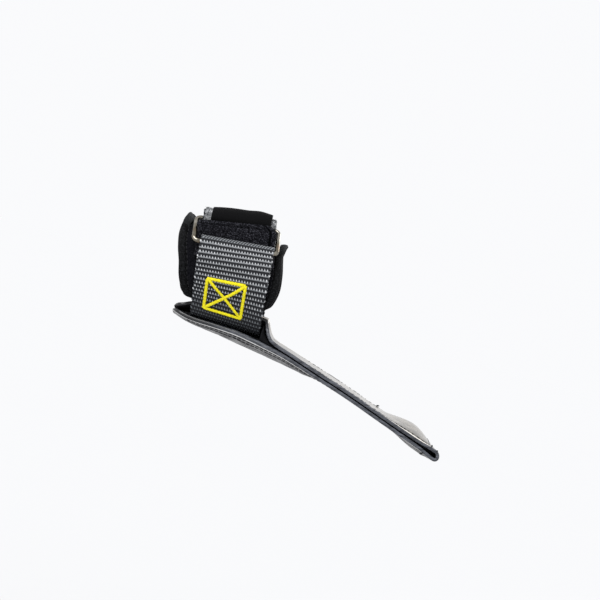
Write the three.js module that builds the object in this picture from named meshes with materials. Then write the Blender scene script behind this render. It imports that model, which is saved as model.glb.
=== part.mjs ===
// A weightlifting grip for the left wrist, shown closed round the wrist as it is worn.
// +X runs along the wrist towards the fingers, +Z points to the back of the hand, -Y to the thumb's side.
// The origin is the middle of the wrist opening. Lengths are in millimetres and angles in degrees.
import * as THREE from "three";
import { mergeVertices } from "three/addons/utils/BufferGeometryUtils.js";

// Driving dimensions

const GAP = 0.3;

// The wrist opening is an oval tube along X.
const WRIST = { halfDepth: 33, halfHeight: 26.3 };

// Two neoprene cushions line the strap, one on the thumb's side and one on the little finger's side.
const CUSHION = { thickness: 5, roll: 5.2, flareStart: 46, flareEnd: 72 };

// Cushion outline: each row is an angle round the wrist and the two edges of the cushion there.
const CUSHION_EDGES = [
  { angle: 74, left: -40.0, right: 26.0 },
  { angle: 60, left: -42.5, right: 27.0 },
  { angle: 45, left: -43.0, right: 28.5 },
  { angle: 25, left: -41.0, right: 30.5 },
  { angle: 7, left: -38.0, right: 31.5 },
  { angle: -8, left: -35.7, right: 30.5 },
  { angle: -19, left: -33.3, right: 28.0 },
  { angle: -29, left: -30.5, right: 20.5 },
  { angle: -36, left: -23.0, right: 9.0 },
];

// How far each upper corner of a cushion stands off the wrist, outside the strap's width.
const FLARE = { left: 6.5, right: 5.5, clearOfStrap: 27, full: 37 };

// The woven strap leans, because it is pulled tight a little askew.
const STRAP = { width: 50, thickness: 1.8, leanOffset: -0.98, lean: 0.1565, stationAngle: 8 };
const LOWER_FOLD_STEPS = 6;
const UPPER_FOLD_STEPS = 8;
const LOOP_TAPE = { width: 49, thickness: 1.0 };
const LABEL = { from: -18.5, to: 21.5, thickness: 0.5 };

// The strap's end is stiff, so its fold over the ring's upper bar is a loose loop. These are its radius and
// how far the loop's middle lies above and behind the bar.
const FOLD = { radius: 4.6, above: 1.4, behind: 0.8 };

// The rectangular wire ring that the strap is pulled through.
const RING = {
  innerWidth: 53,
  innerHeight: 18.2,
  wire: 3.2,
  cornerRadius: 3.2,
  heightOnWrist: 12.3,
  lowerBarZ: 21.85,
  rise: 0.12,
  tilt: 42,
};

// The padded flap stands up through the ring. Its foot lies under the strap, its top in front of the fold.
const RING_PAD = { halfWidth: 26.2, thickness: 2.8, height: 18.5, slant: 0.12, corner: 5.5 };

// The flap's foot, in degrees below the ring's lower bar. Above it the flap's line, seen end-on, is given by
// its height above the bar and how far it lies behind it.
const RING_PAD_FOOT = [-12, -8];
const RING_PAD_LINE = [
  { above: -5.2, behind: 2.95 },
  { above: -2.9, behind: 4.75 },
  { above: 0, behind: 5.75 },
  { above: 4, behind: 5.75 },
  { above: 25, behind: 5.3 },
];

// The palm pad is one strip of leather, folded at its free end.
const PAD = {
  thickness: 2.3,
  slope: 17.1,
  roll: -0.8,
  rollFrom: 32,
  straightFrom: 60,
  flatFrom: 82,
  straightZ: -40.6,
  bulgeFrom: 106,
  bulgeTo: 162,
  bulgeSkew: 2.2,
  upperBulge: 4.2,
  lowerBulge: 4.2,
};

// Half the pad's width, at each x along it.
const PAD_WIDTH = [
  { x: -33, half: 17 },
  { x: -31.5, half: 21 },
  { x: -28.5, half: 24 },
  { x: -22, half: 26 },
  { x: 24, half: 31 },
  { x: 60, half: 34.5 },
  { x: 100, half: 36 },
  { x: 160, half: 36 },
];

// The space between the two plies on the straight stretch: a seam pinches them shortly before the fold.
const PLY_GAP = [
  { x: 60, gap: 0.7 },
  { x: 140, gap: 0.7 },
  { x: 154, gap: 0.8 },
  { x: 163, gap: 3.0 },
];

// The lower ply before its straight stretch: the height of its middle, how far its edges curl up, and its
// thickness, which is greater where the strap is sewn in.
const LOWER_PLY = [
  { x: -33, z: -30.9, curl: 2.6, thickness: 2.6 },
  { x: -22, z: -33.6, curl: 2.9, thickness: 3.0 },
  { x: 0, z: -36.2, curl: 5.1, thickness: 3.1 },
  { x: 15, z: -38.3, curl: 6.6, thickness: 3.1 },
  { x: 30, z: -39.9, curl: 6.0, thickness: 3.1 },
  { x: 45, z: -42.0, curl: 5.4, thickness: 2.8 },
  { x: 60, z: -44.7, curl: 4.1, thickness: 2.3 },
];

// The upper ply there. Hug is 1 where it lies round the wrist, and reach is the degrees it goes up each side.
const UPPER_PLY = [
  { x: -33, z: -27.9, curl: 2.6, hug: 0, reach: 38 },
  { x: -28, z: -27.8, curl: 2.6, hug: 0.45, reach: 39 },
  { x: -22, z: -27.75, curl: 2.2, hug: 1, reach: 41 },
  { x: 29, z: -27.75, curl: 2.2, hug: 1, reach: 51 },
  { x: 31.5, z: -29.4, curl: 2.4, hug: 0.5, reach: 50 },
  { x: 34, z: -31.4, curl: 2.6, hug: 0.16, reach: 50 },
  { x: 37, z: -33.0, curl: 2.5, hug: 0.02, reach: 50 },
  { x: 43, z: -34.6, curl: 2.1, hug: 0, reach: 50 },
  { x: 48, z: -35.6, curl: 1.7, hug: 0, reach: 50 },
  { x: 54, z: -36.9, curl: 1.3, hug: 0, reach: 51 },
  { x: 60, z: -38.26, curl: 0.8, hug: 0, reach: 51 },
];

// Colours and finishes

const FINISH = {
  neoprene: { color: 0x17171b, roughness: 0.95, metalness: 0 },
  binding: { color: 0x1e2023, roughness: 0.85, metalness: 0 },
  webbing: { color: 0x6f747a, roughness: 0.8, metalness: 0 },
  loop: { color: 0xa6a9ac, roughness: 1, metalness: 0 },
  satin: { color: 0x0e0e10, roughness: 0.5, metalness: 0 },
  nickel: { color: 0xc9c2b4, roughness: 0.22, metalness: 1 },
  leather: { color: 0x7d8287, roughness: 0.35, metalness: 0 },
};

// Small helpers

const radians = THREE.MathUtils.degToRad;
const degrees = THREE.MathUtils.radToDeg;
const { lerp, smoothstep } = THREE.MathUtils;

// One column of a table at a given key, eased between rows without overshoot.
function fromTable(table, key, column, at) {
  const rows = table[0][key] < table.at(-1)[key] ? table : [...table].reverse();
  if (at <= rows[0][key]) return rows[0][column];
  if (at >= rows.at(-1)[key]) return rows.at(-1)[column];
  const i = rows.findIndex((row) => row[key] >= at) - 1;
  const slope = (k) => {
    if (k < 1 || k >= rows.length - 1) return null;
    const before = (rows[k][column] - rows[k - 1][column]) / (rows[k][key] - rows[k - 1][key]);
    const after = (rows[k + 1][column] - rows[k][column]) / (rows[k + 1][key] - rows[k][key]);
    return before * after <= 0 ? 0 : (2 * before * after) / (before + after);
  };
  const span = rows[i + 1][key] - rows[i][key];
  const chord = (rows[i + 1][column] - rows[i][column]) / span;
  const from = slope(i) ?? chord;
  const to = slope(i + 1) ?? chord;
  const t = (at - rows[i][key]) / span;
  return (
    rows[i][column] * (2 * t ** 3 - 3 * t ** 2 + 1) +
    span * from * (t ** 3 - 2 * t ** 2 + t) +
    rows[i + 1][column] * (3 * t ** 2 - 2 * t ** 3) +
    span * to * (t ** 3 - t ** 2)
  );
}

// A point round the wrist: 0 is the thumb's side, 90 the back, 180 the little finger's side, -90 the palm.
function onWrist(angle, height) {
  const a = radians(angle);
  const { halfDepth, halfHeight } = WRIST;
  const normal = new THREE.Vector2(-halfHeight * Math.cos(a), halfDepth * Math.sin(a)).normalize();
  const onSkin = new THREE.Vector2(-halfDepth * Math.cos(a), halfHeight * Math.sin(a));
  return onSkin.addScaledVector(normal, height);
}

// Where the strap's middle lies along the wrist, at a height above the wrist's middle.
const leanAt = (z) => STRAP.leanOffset - STRAP.lean * z;

// A closed solid from a grid of points with an inner and an outer side.
function slab(rows, columns, place) {
  const positions = [];
  const index = [];
  for (const side of [0, 1])
    for (let r = 0; r < rows; r++)
      for (let c = 0; c < columns; c++) positions.push(...place(r, c, side).toArray());
  const at = (r, c, side) => side * rows * columns + r * columns + c;
  const quad = (a, b, c, d) => index.push(a, b, c, a, c, d);
  for (let r = 0; r + 1 < rows; r++)
    for (let c = 0; c + 1 < columns; c++) {
      quad(at(r, c, 1), at(r, c + 1, 1), at(r + 1, c + 1, 1), at(r + 1, c, 1));
      quad(at(r, c, 0), at(r + 1, c, 0), at(r + 1, c + 1, 0), at(r, c + 1, 0));
    }
  for (let r = 0; r + 1 < rows; r++) {
    const last = columns - 1;
    quad(at(r, 0, 0), at(r, 0, 1), at(r + 1, 0, 1), at(r + 1, 0, 0));
    quad(at(r, last, 1), at(r, last, 0), at(r + 1, last, 0), at(r + 1, last, 1));
  }
  for (let c = 0; c + 1 < columns; c++) {
    const last = rows - 1;
    quad(at(0, c, 1), at(0, c, 0), at(0, c + 1, 0), at(0, c + 1, 1));
    quad(at(last, c, 0), at(last, c, 1), at(last, c + 1, 1), at(last, c + 1, 0));
  }
  return outward(positions, index);
}

// A solid swept through sections with the same number of points each. It closes on itself, or gets two caps.
function sweep(sections, closesOnItself) {
  const sides = sections[0].length;
  const index = [];
  const steps = closesOnItself ? sections.length : sections.length - 1;
  for (let i = 0; i < steps; i++)
    for (let k = 0; k < sides; k++) {
      const here = i * sides;
      const next = ((i + 1) % sections.length) * sides;
      const turn = (k + 1) % sides;
      index.push(here + k, here + turn, next + turn, here + k, next + turn, next + k);
    }
  const last = (sections.length - 1) * sides;
  for (let k = 1; !closesOnItself && k + 1 < sides; k++)
    index.push(0, k + 1, k, last, last + k, last + k + 1);
  return outward(sections.flat().flatMap((p) => p.toArray()), index);
}

// The geometry with its faces pointing out.
function outward(positions, index) {
  const geometry = new THREE.BufferGeometry();
  geometry.setAttribute("position", new THREE.Float32BufferAttribute(positions, 3));
  const corner = (i) => new THREE.Vector3().fromArray(positions, 3 * index[i]);
  let volume = 0;
  for (let i = 0; i < index.length; i += 3) volume += corner(i).dot(corner(i + 1).cross(corner(i + 2)));
  geometry.setIndex(volume < 0 ? index.reverse() : index);
  return mergeVertices(geometry, 1e-4);
}

function piece(name, geometry, finish) {
  geometry.computeVertexNormals();
  const mesh = new THREE.Mesh(geometry, new THREE.MeshStandardMaterial(FINISH[finish]));
  mesh.name = name;
  return mesh;
}

// Cushions and their rolled edges

// Distance round the wrist at half the cushion's thickness, as a table that can be read both ways.
const ROUND = [];
for (let angle = -60, length = 0; angle <= 90; angle++) {
  if (ROUND.length) length += onWrist(angle, CUSHION.thickness / 2).distanceTo(ROUND.at(-1).point);
  ROUND.push({ angle, length, point: onWrist(angle, CUSHION.thickness / 2) });
}

function cushionFlare(angle, x, z) {
  const fromStrap = x - leanAt(z);
  const corner = smoothstep(Math.abs(fromStrap), FLARE.clearOfStrap, FLARE.full);
  const lift = fromStrap < 0 ? FLARE.left : FLARE.right;
  return lift * corner * smoothstep(angle, CUSHION.flareStart, CUSHION.flareEnd);
}

// The cushion's outline laid flat: down its left edge, round its tapered end and up its right edge.
const flatPoint = (angle, x) => new THREE.Vector2(fromTable(ROUND, "angle", "length", angle), x);
const outline = new THREE.SplineCurve([
  ...CUSHION_EDGES.map((row) => flatPoint(row.angle, row.left)),
  ...CUSHION_EDGES.toReversed().map((row) => flatPoint(row.angle, row.right)),
]);
const OUTLINE_STEPS = 56;
const outlinePoints = outline.getSpacedPoints(OUTLINE_STEPS);
const outlineInward = outlinePoints.map((point, i) => {
  const ahead = outlinePoints[Math.min(i + 1, OUTLINE_STEPS)];
  const behind = outlinePoints[Math.max(i - 1, 0)];
  const along = ahead.clone().sub(behind).normalize();
  return new THREE.Vector2(along.y, -along.x);
});

// A point of the flat pattern at a height on the wrist; side is 1 for the thumb's side and -1 for the other.
function onCushion(flat, height, side) {
  const angle = fromTable(ROUND, "length", "angle", flat.x);
  const level = onWrist(angle, height).y;
  const at = onWrist(angle, height + cushionFlare(angle, flat.y, level));
  return new THREE.Vector3(flat.y, side * at.x, at.y);
}

const inset = (i, distance) => outlinePoints[i].clone().addScaledVector(outlineInward[i], distance);

function cushion(side) {
  const columns = 11;
  const rows = OUTLINE_STEPS / 2 - 1;
  return slab(rows, columns, (r, c, outer) => {
    const left = inset(r, CUSHION.roll + GAP);
    const right = inset(OUTLINE_STEPS - r, CUSHION.roll + GAP);
    return onCushion(left.lerp(right, c / (columns - 1)), outer * CUSHION.thickness, side);
  });
}

// The rolled edge's section: how far in from the outline, and how high through the cushion's thickness.
const ROLL_SECTION = [
  { inward: 1, height: 0.06 },
  { inward: 1, height: 0.94 },
  { inward: 0.6, height: 1 },
  { inward: 0.22, height: 0.92 },
  { inward: 0, height: 0.68 },
  { inward: 0, height: 0.32 },
  { inward: 0.22, height: 0.08 },
  { inward: 0.6, height: 0 },
];

function rolledEdge(side) {
  const sections = outlinePoints.map((_, i) =>
    ROLL_SECTION.map((p) => onCushion(inset(i, p.inward * CUSHION.roll), p.height * CUSHION.thickness, side)),
  );
  return sweep(sections, false);
}

// The ring

const halfStrap = STRAP.width / 2;
const angleAtHeight = (z) => degrees(Math.asin(z / (WRIST.halfHeight + RING.heightOnWrist)));

// The lower bar lies along the wrist's surface, so it turns a little as it rises.
const barStart = onWrist(angleAtHeight(RING.lowerBarZ - halfStrap * RING.rise), RING.heightOnWrist);
const barEnd = onWrist(angleAtHeight(RING.lowerBarZ + halfStrap * RING.rise), RING.heightOnWrist);
const barMiddle = barStart.clone().lerp(barEnd, 0.5);
const ringAlong = new THREE.Vector3(STRAP.width, barEnd.x - barStart.x, barEnd.y - barStart.y).normalize();
const tilt = radians(RING.tilt);
const ringUp = new THREE.Vector3(0, Math.sin(tilt), Math.cos(tilt));
ringUp.addScaledVector(ringAlong, -ringUp.dot(ringAlong)).normalize();
const ringOut = ringAlong.clone().cross(ringUp).normalize();
const lowerBar = new THREE.Vector3(leanAt(barMiddle.y), barMiddle.x, barMiddle.y);
const barSpacing = RING.innerHeight + RING.wire;

// A point in the ring's own plane: along the bars, up from the lower bar, and out from the wrist.
function onRing(along, up, out) {
  return lowerBar
    .clone()
    .addScaledVector(ringAlong, along)
    .addScaledVector(ringUp, up)
    .addScaledVector(ringOut, out);
}

function ring() {
  const half = (RING.innerWidth + RING.wire) / 2;
  const r = RING.cornerRadius;
  const path = new THREE.Path();
  path.moveTo(half - r, 0);
  path.absarc(half - r, r, r, -Math.PI / 2, 0);
  path.absarc(half - r, barSpacing - r, r, 0, Math.PI / 2);
  path.absarc(r - half, barSpacing - r, r, Math.PI / 2, Math.PI);
  path.absarc(r - half, r, r, Math.PI, 1.5 * Math.PI);
  path.closePath();
  const steps = 44;
  const sides = 10;
  const sections = [];
  for (let i = 0; i < steps; i++) {
    const at = path.getPointAt(i / steps);
    const along = path.getTangentAt(i / steps);
    const section = [];
    for (let k = 0; k < sides; k++) {
      const turn = (2 * Math.PI * k) / sides;
      const across = (Math.cos(turn) * RING.wire) / 2;
      const out = (Math.sin(turn) * RING.wire) / 2;
      section.push(onRing(at.x + across * along.y, at.y - across * along.x, out));
    }
    sections.push(section);
  }
  return sweep(sections, true);
}

// The strap, seen end-on along the wrist. Every path below is worked out for one line along the strap,
// at a distance across it from its middle, because the ring's bars rise across the strap.

const overCushion = CUSHION.thickness + GAP + STRAP.thickness / 2;
const secondLayer = overCushion + STRAP.thickness + GAP;
const padBehindRing = CUSHION.thickness + GAP + RING_PAD.thickness / 2;
const overRingPad = padBehindRing + (RING_PAD.thickness + STRAP.thickness) / 2 + GAP;
const overUpperPly = GAP + PAD.thickness + GAP + STRAP.thickness / 2 + 0.1;
const wrapRadius = RING.wire / 2 + GAP + 0.1 + STRAP.thickness / 2;
const seenEndOn = (v) => new THREE.Vector2(v.y, v.z);
const upEndOn = seenEndOn(ringUp).normalize();
const outEndOn = seenEndOn(ringOut).normalize();

// How much further up the wrist the ring sits on this line of the strap than on its middle.
const angleShift = (across) =>
  angleAtHeight(RING.lowerBarZ + across * RING.rise) - angleAtHeight(RING.lowerBarZ);

// Points round a bar, from one side of it to the other.
function roundBar(centre, first, second, radius, from, to, steps) {
  const points = [];
  for (let i = 0; i <= steps; i++) {
    const turn = radians(lerp(from, to, i / steps));
    points.push(
      centre
        .clone()
        .addScaledVector(first, radius * Math.cos(turn))
        .addScaledVector(second, radius * Math.sin(turn)),
    );
  }
  return points;
}

// The strap's heights on the wrist. follow is how much of the ring's rise a station takes.
const TAIL = [
  { angle: -4, height: overCushion, follow: 0.6 },
  { angle: 6, height: overCushion + 0.2, follow: 0.8 },
  { angle: 17, height: overRingPad, follow: 1 },
  { angle: 26, height: overRingPad + 0.4, follow: 1 },
];
const FRONT = [
  { angle: 25, height: overRingPad + 4.4, follow: 1 },
  { angle: 16, height: overRingPad + 2.7, follow: 1 },
  { angle: 6, height: secondLayer + 0.8, follow: 0.8 },
  { angle: -4, height: secondLayer + 0.1, follow: 0.6 },
  { angle: -14, height: overCushion + 0.4, follow: 0.4 },
  { angle: -22, height: overCushion, follow: 0.2 },
  { angle: -34, height: overCushion, follow: 0 },
  { angle: -44, height: overCushion - 0.2, follow: 0 },
  { angle: -62, height: overUpperPly, follow: 0 },
  { angle: -118, height: overUpperPly, follow: 0 },
  { angle: -136, height: overCushion - 0.2, follow: 0 },
  { angle: -146, height: overCushion, follow: 0 },
  { angle: -256, height: overCushion, follow: 0 },
];
const RETURN = [
  { angle: -256, height: secondLayer + 0.4, follow: 0 },
  { angle: -240, height: secondLayer, follow: 0 },
  { angle: -168, height: secondLayer, follow: 0 },
];

// Points along such a table, at about equal angles.
function stations(table, shift) {
  const first = table[0].angle;
  const last = table.at(-1).angle;
  const steps = Math.round(Math.abs(last - first) / STRAP.stationAngle);
  const points = [];
  for (let i = 0; i <= steps; i++) {
    const angle = lerp(first, last, i / steps);
    const follow = fromTable(table, "angle", "follow", angle);
    points.push(onWrist(angle + shift * follow, fromTable(table, "angle", "height", angle)));
  }
  return points;
}

// The strap's middle line through its thickness: up behind the ring's lower bar, over it, down and
// round the wrist, under the ring's upper bar, over it and back along itself.
function strapLine(across) {
  const shift = angleShift(across);
  const lower = seenEndOn(onRing(across, 0, 0));
  const upper = seenEndOn(onRing(across, barSpacing, 0));
  const front = stations(FRONT, shift);
  const leaving = front.at(-1);
  const back = upper.clone().sub(leaving).normalize();
  const above = new THREE.Vector2(back.y, -back.x);
  if (above.y < 0) above.negate();
  const loop = upper.clone().addScaledVector(above, FOLD.above).addScaledVector(back, -FOLD.behind);
  const under = loop.clone().addScaledVector(above, -FOLD.radius);
  const over = loop.clone().addScaledVector(above, FOLD.radius);
  const backOnto = onWrist(RETURN[0].angle, RETURN[0].height);
  return [
    ...stations(TAIL, shift),
    ...roundBar(lower, upEndOn, outEndOn, wrapRadius, -80, 80, LOWER_FOLD_STEPS),
    ...front,
    leaving.clone().lerp(under, 0.4),
    leaving.clone().lerp(under, 0.8),
    ...roundBar(loop, back, above, FOLD.radius, -90, 90, UPPER_FOLD_STEPS),
    over.clone().lerp(backOnto, 0.2),
    over.clone().lerp(backOnto, 0.6),
    ...stations(RETURN, 0),
  ];
}

// Where the fold round the upper bar lies in that list of stations.
const beforeFold = stations(TAIL, 0).length + LOWER_FOLD_STEPS + 1 + stations(FRONT, 0).length;
const foldStart = beforeFold + 2;
const foldEnd = foldStart + UPPER_FOLD_STEPS;

// The line moved sideways, to the side that faces away from the wrist on the way down from the ring.
function offsetLine(line, distance) {
  return line.map((point, i) => {
    const along = line[Math.min(i + 1, line.length - 1)].clone().sub(line[Math.max(i - 1, 0)]).normalize();
    return point.clone().addScaledVector(new THREE.Vector2(along.y, -along.x), distance);
  });
}

// A ribbon on the strap between two stations: its edges across the strap, and its two faces through it.
function ribbon(edges, faces, firstStation, lastStation, columns) {
  const middle = strapLine(0);
  const lines = [];
  for (let c = 0; c < columns; c++) {
    const across = lerp(edges[0], edges[1], c / (columns - 1));
    const line = strapLine(across);
    lines.push({ across, faces: faces.map((distance) => offsetLine(line, distance)) });
  }
  return slab(lastStation - firstStation + 1, columns, (r, c, outer) => {
    const station = firstStation + r;
    const at = lines[c].faces[outer][station];
    const x = leanAt(middle[station].y) + lines[c].across * ringAlong.x;
    return new THREE.Vector3(x, at.x, at.y);
  });
}

const lastStation = strapLine(0).length - 1;
const strapFace = STRAP.thickness / 2;
const tapeFace = strapFace + GAP + LOOP_TAPE.thickness;
const labelFace = tapeFace + GAP + LABEL.thickness;
const acrossStrap = [-halfStrap, halfStrap];
const acrossTape = [-LOOP_TAPE.width / 2, LOOP_TAPE.width / 2];
const acrossLabel = [LABEL.from, LABEL.to];
const outerSide = (near, far) => [-far, -near];

const webbing = ribbon(acrossStrap, [-strapFace, strapFace], 0, lastStation, 7);
const loopTape = ribbon(acrossTape, outerSide(strapFace + GAP, tapeFace), foldStart, lastStation - 1, 7);
const label = ribbon(acrossLabel, outerSide(tapeFace + GAP, labelFace), foldStart, foldEnd + 1, 5);

// The padded flap, with two rounded corners at its slanted top. Its foot lies round the wrist, some degrees
// below the ring's lower bar, and each row above that is a share of the flap's height.
function ringPad() {
  const shares = [-0.28, -0.16, 0, 0.2, 0.4, 0.58, 0.72, 0.83, 0.91, 0.97, 1];
  const columns = 13;
  const barAt = (across) => seenEndOn(onRing(across, 0, 0));
  const line = (across) => {
    const angle = angleAtHeight(RING.lowerBarZ) + angleShift(across);
    const foot = RING_PAD_FOOT.map((below) => onWrist(angle + below, padBehindRing));
    const rising = shares.map((share) => {
      const above = share * RING_PAD.height + Math.max(0, share) * RING_PAD.slant * across;
      const behind = fromTable(RING_PAD_LINE, "above", "behind", above);
      return barAt(across).add(new THREE.Vector2(behind, above));
    });
    return [...foot, ...rising];
  };
  const middle = line(0);
  return slab(middle.length, columns, (r, c, outer) => {
    const share = shares[r - RING_PAD_FOOT.length] ?? 0;
    const round = Math.max(0, RING_PAD.corner - (1 - share) * RING_PAD.height);
    const pulledIn = RING_PAD.corner - Math.sqrt(RING_PAD.corner ** 2 - round ** 2);
    const across = (RING_PAD.halfWidth - pulledIn) * lerp(-1, 1, c / (columns - 1));
    const at = offsetLine(line(across), (outer - 0.5) * RING_PAD.thickness)[r];
    const leansWithRing = ((middle[r].y - lowerBar.z) * ringUp.x) / ringUp.z;
    return new THREE.Vector3(lowerBar.x + leansWithRing + across * ringAlong.x, at.x, at.y);
  });
}

// The palm pad

const padSlope = Math.tan(radians(PAD.slope));
const padRise = 1 / Math.cos(radians(PAD.slope));
const padRoll = Math.tan(radians(PAD.roll));
const widestHalf = Math.max(...PAD_WIDTH.map((row) => row.half));

// How much the two plies stand apart in the middle of the padded end.
function padBulge(x, share) {
  const t = THREE.MathUtils.clamp((x - PAD.bulgeFrom) / (PAD.bulgeTo - PAD.bulgeFrom), 0, 1);
  return Math.sin(Math.PI * t ** PAD.bulgeSkew) ** 1.5 * (1 - share ** 2);
}

// The middle of a ply through its thickness; share runs from -1 at the thumb's edge to 1 at the other.
function plyPoint(upper, x, share) {
  const half = fromTable(PAD_WIDTH, "x", "half", x);
  const table = upper ? UPPER_PLY : LOWER_PLY;
  const onStraight = x > PAD.straightFrom;
  const apart = PAD.thickness + fromTable(PLY_GAP, "x", "gap", x);
  const straight = PAD.straightZ - padSlope * (x - PAD.straightFrom) + (upper ? apart * padRise : 0);
  const bulge = padBulge(x, share) * (upper ? PAD.upperBulge : -PAD.lowerBulge);
  const curl = fromTable(table, "x", "curl", x) * (1 - smoothstep(x, PAD.straightFrom, PAD.flatFrom));
  const middle = onStraight ? straight + bulge - curl : fromTable(table, "x", "z", x);
  const roll = padRoll * smoothstep(x, PAD.rollFrom, PAD.flatFrom) * (share * half + widestHalf);
  const flat = new THREE.Vector3(x, share * half, middle + curl * share ** 2 + roll);
  if (!upper || onStraight) return flat;
  const reach = fromTable(UPPER_PLY, "x", "reach", x);
  const hugging = onWrist(-90 - share * reach, GAP + PAD.thickness / 2);
  return flat.lerp(new THREE.Vector3(x, hugging.x, hugging.y), fromTable(UPPER_PLY, "x", "hug", x));
}

// Stations along one ply, from the end behind the wrist to the fold.
const PLY_STATIONS = [
  -33, -31.5, -28.5, -25, -22, -12, 0, 12, 22, 29, 31.5, 34, 37, 40, 43.5, 47, 50.5, 54, 60, 65, 70, 76, 82, 92,
  103, 110, 116, 122, 128, 134, 140, 146, 151, 155, 159, 163,
];
const FOLD_STEPS = 6;

function palmPad() {
  const columns = 9;
  const shareOf = (c) => lerp(-1, 1, c / (columns - 1));
  const lines = [];
  for (let c = 0; c < columns; c++) {
    const share = shareOf(c);
    const lower = PLY_STATIONS.map((x) => plyPoint(false, x, share));
    const upper = PLY_STATIONS.map((x) => plyPoint(true, x, share));
    const from = lower.at(-1);
    const to = upper.at(-1);
    const centre = from.clone().lerp(to, 0.5);
    const radius = from.distanceTo(to) / 2;
    const ahead = new THREE.Vector3(1 / padRise, 0, -padSlope / padRise);
    const up = to.clone().sub(from).normalize();
    const fold = [];
    for (let i = 1; i < FOLD_STEPS; i++) {
      const turn = -Math.PI / 2 + (Math.PI * i) / FOLD_STEPS;
      fold.push(
        centre
          .clone()
          .addScaledVector(ahead, radius * Math.cos(turn))
          .addScaledVector(up, radius * Math.sin(turn)),
      );
    }
    lines.push([...lower, ...fold, ...upper.reverse()]);
  }
  const thicknessOf = (r) =>
    r < PLY_STATIONS.length ? fromTable(LOWER_PLY, "x", "thickness", PLY_STATIONS[r]) : PAD.thickness;
  const rows = lines[0].length;
  const clampRow = (r) => Math.min(Math.max(r, 0), rows - 1);
  const clampColumn = (c) => Math.min(Math.max(c, 0), columns - 1);
  return slab(rows, columns, (r, c, outer) => {
    const along = lines[c][clampRow(r + 1)].clone().sub(lines[c][clampRow(r - 1)]);
    const across = lines[clampColumn(c + 1)][r].clone().sub(lines[clampColumn(c - 1)][r]);
    const normal = across.cross(along).normalize();
    return lines[c][r].clone().addScaledVector(normal, (outer - 0.5) * thicknessOf(r));
  });
}

// The assembly

const grip = new THREE.Group();
grip.add(
  piece("front_cushion", cushion(1), "neoprene"),
  piece("front_binding", rolledEdge(1), "binding"),
  piece("back_cushion", cushion(-1), "neoprene"),
  piece("back_binding", rolledEdge(-1), "binding"),
  piece("ring_pad", ringPad(), "neoprene"),
  piece("ring", ring(), "nickel"),
  piece("webbing_strap", webbing, "webbing"),
  piece("loop_tape", loopTape, "loop"),
  piece("label", label, "satin"),
  piece("palm_pad", palmPad(), "leather"),
);

export default grip;
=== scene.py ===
# %% [markdown]
# A weightlifting grip, closed as it is worn.
#
# The solids of the part come in as a fixed frame, in metres. Each soft piece is then made again as cloth,
# foam or leather, in the place that its solid holds, and takes over from it in the picture.

# %% Load the solids
import math

import bpy
import numpy as np
from mathutils import Matrix, Vector


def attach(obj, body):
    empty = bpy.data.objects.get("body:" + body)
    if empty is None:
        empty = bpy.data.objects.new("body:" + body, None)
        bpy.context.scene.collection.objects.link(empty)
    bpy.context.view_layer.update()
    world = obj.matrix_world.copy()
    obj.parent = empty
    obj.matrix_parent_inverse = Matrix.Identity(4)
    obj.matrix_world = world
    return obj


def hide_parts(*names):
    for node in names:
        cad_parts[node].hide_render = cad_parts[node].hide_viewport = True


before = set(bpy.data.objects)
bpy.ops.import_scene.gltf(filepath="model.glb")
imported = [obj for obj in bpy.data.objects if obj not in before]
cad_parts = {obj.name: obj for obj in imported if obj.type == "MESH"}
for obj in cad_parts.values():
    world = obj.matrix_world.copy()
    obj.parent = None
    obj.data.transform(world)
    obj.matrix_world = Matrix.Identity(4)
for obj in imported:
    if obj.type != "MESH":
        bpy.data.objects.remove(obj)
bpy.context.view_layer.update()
MM = 0.001
print("solids:", sorted(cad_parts))

# %% [markdown]
# The photograph was taken from the front, level with the cuff, and the cuff slopes down to the right in it.
# The part keeps the cuff along X, so the camera is rolled by that slope instead.

# %% Camera
CAMERA_AT = (0.047, -1.035, 0.002)
CUFF_SLOPE = math.radians(17)
camera_data = bpy.data.cameras.new("camera")
camera_data.lens = 90
camera_data.sensor_width = 36
camera_data.clip_end = 50
camera = bpy.data.objects.new("camera", camera_data)
bpy.context.collection.objects.link(camera)
right = Vector((math.cos(CUFF_SLOPE), 0, math.sin(CUFF_SLOPE)))
up = Vector((-math.sin(CUFF_SLOPE), 0, math.cos(CUFF_SLOPE)))
back = Vector((0, -1, 0))
turn = Matrix((right, up, back)).transposed()
camera.matrix_world = Matrix.Translation(CAMERA_AT) @ turn.to_4x4()
bpy.context.scene.camera = camera
print("camera at", tuple(round(c, 3) for c in camera.location))

# %% [markdown]
# A white studio: the room itself glows evenly, a wide soft lamp above the front gives the shapes their
# light and shade, and a weaker one behind adds an edge to the black foam. Both lamps are far away, so they
# light the floor evenly, and the floor's tint is chosen to come out exactly as bright as the room.

# %% Room, lamps and floor
ROOM = (0.955, 0.96, 0.975)
scene = bpy.context.scene
scene.view_settings.view_transform = "Standard"
scene.view_settings.look = "None"
world = bpy.data.worlds.new("white room")
world.use_nodes = True
world.node_tree.nodes["Background"].inputs["Color"].default_value = (*ROOM, 1)
world.node_tree.nodes["Background"].inputs["Strength"].default_value = 1.0
scene.world = world


def far_lamp(name, comes_from, strength, width):
    """A distant lamp; returns how bright it makes a white floor."""
    data = bpy.data.lights.new(name, "SUN")
    data.energy = strength
    data.angle = math.radians(width)
    lamp = bpy.data.objects.new(name, data)
    bpy.context.collection.objects.link(lamp)
    direction = Vector(comes_from).normalized()
    lamp.rotation_euler = direction.to_track_quat("Z", "Y").to_euler()
    return strength * direction.z / math.pi


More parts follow.
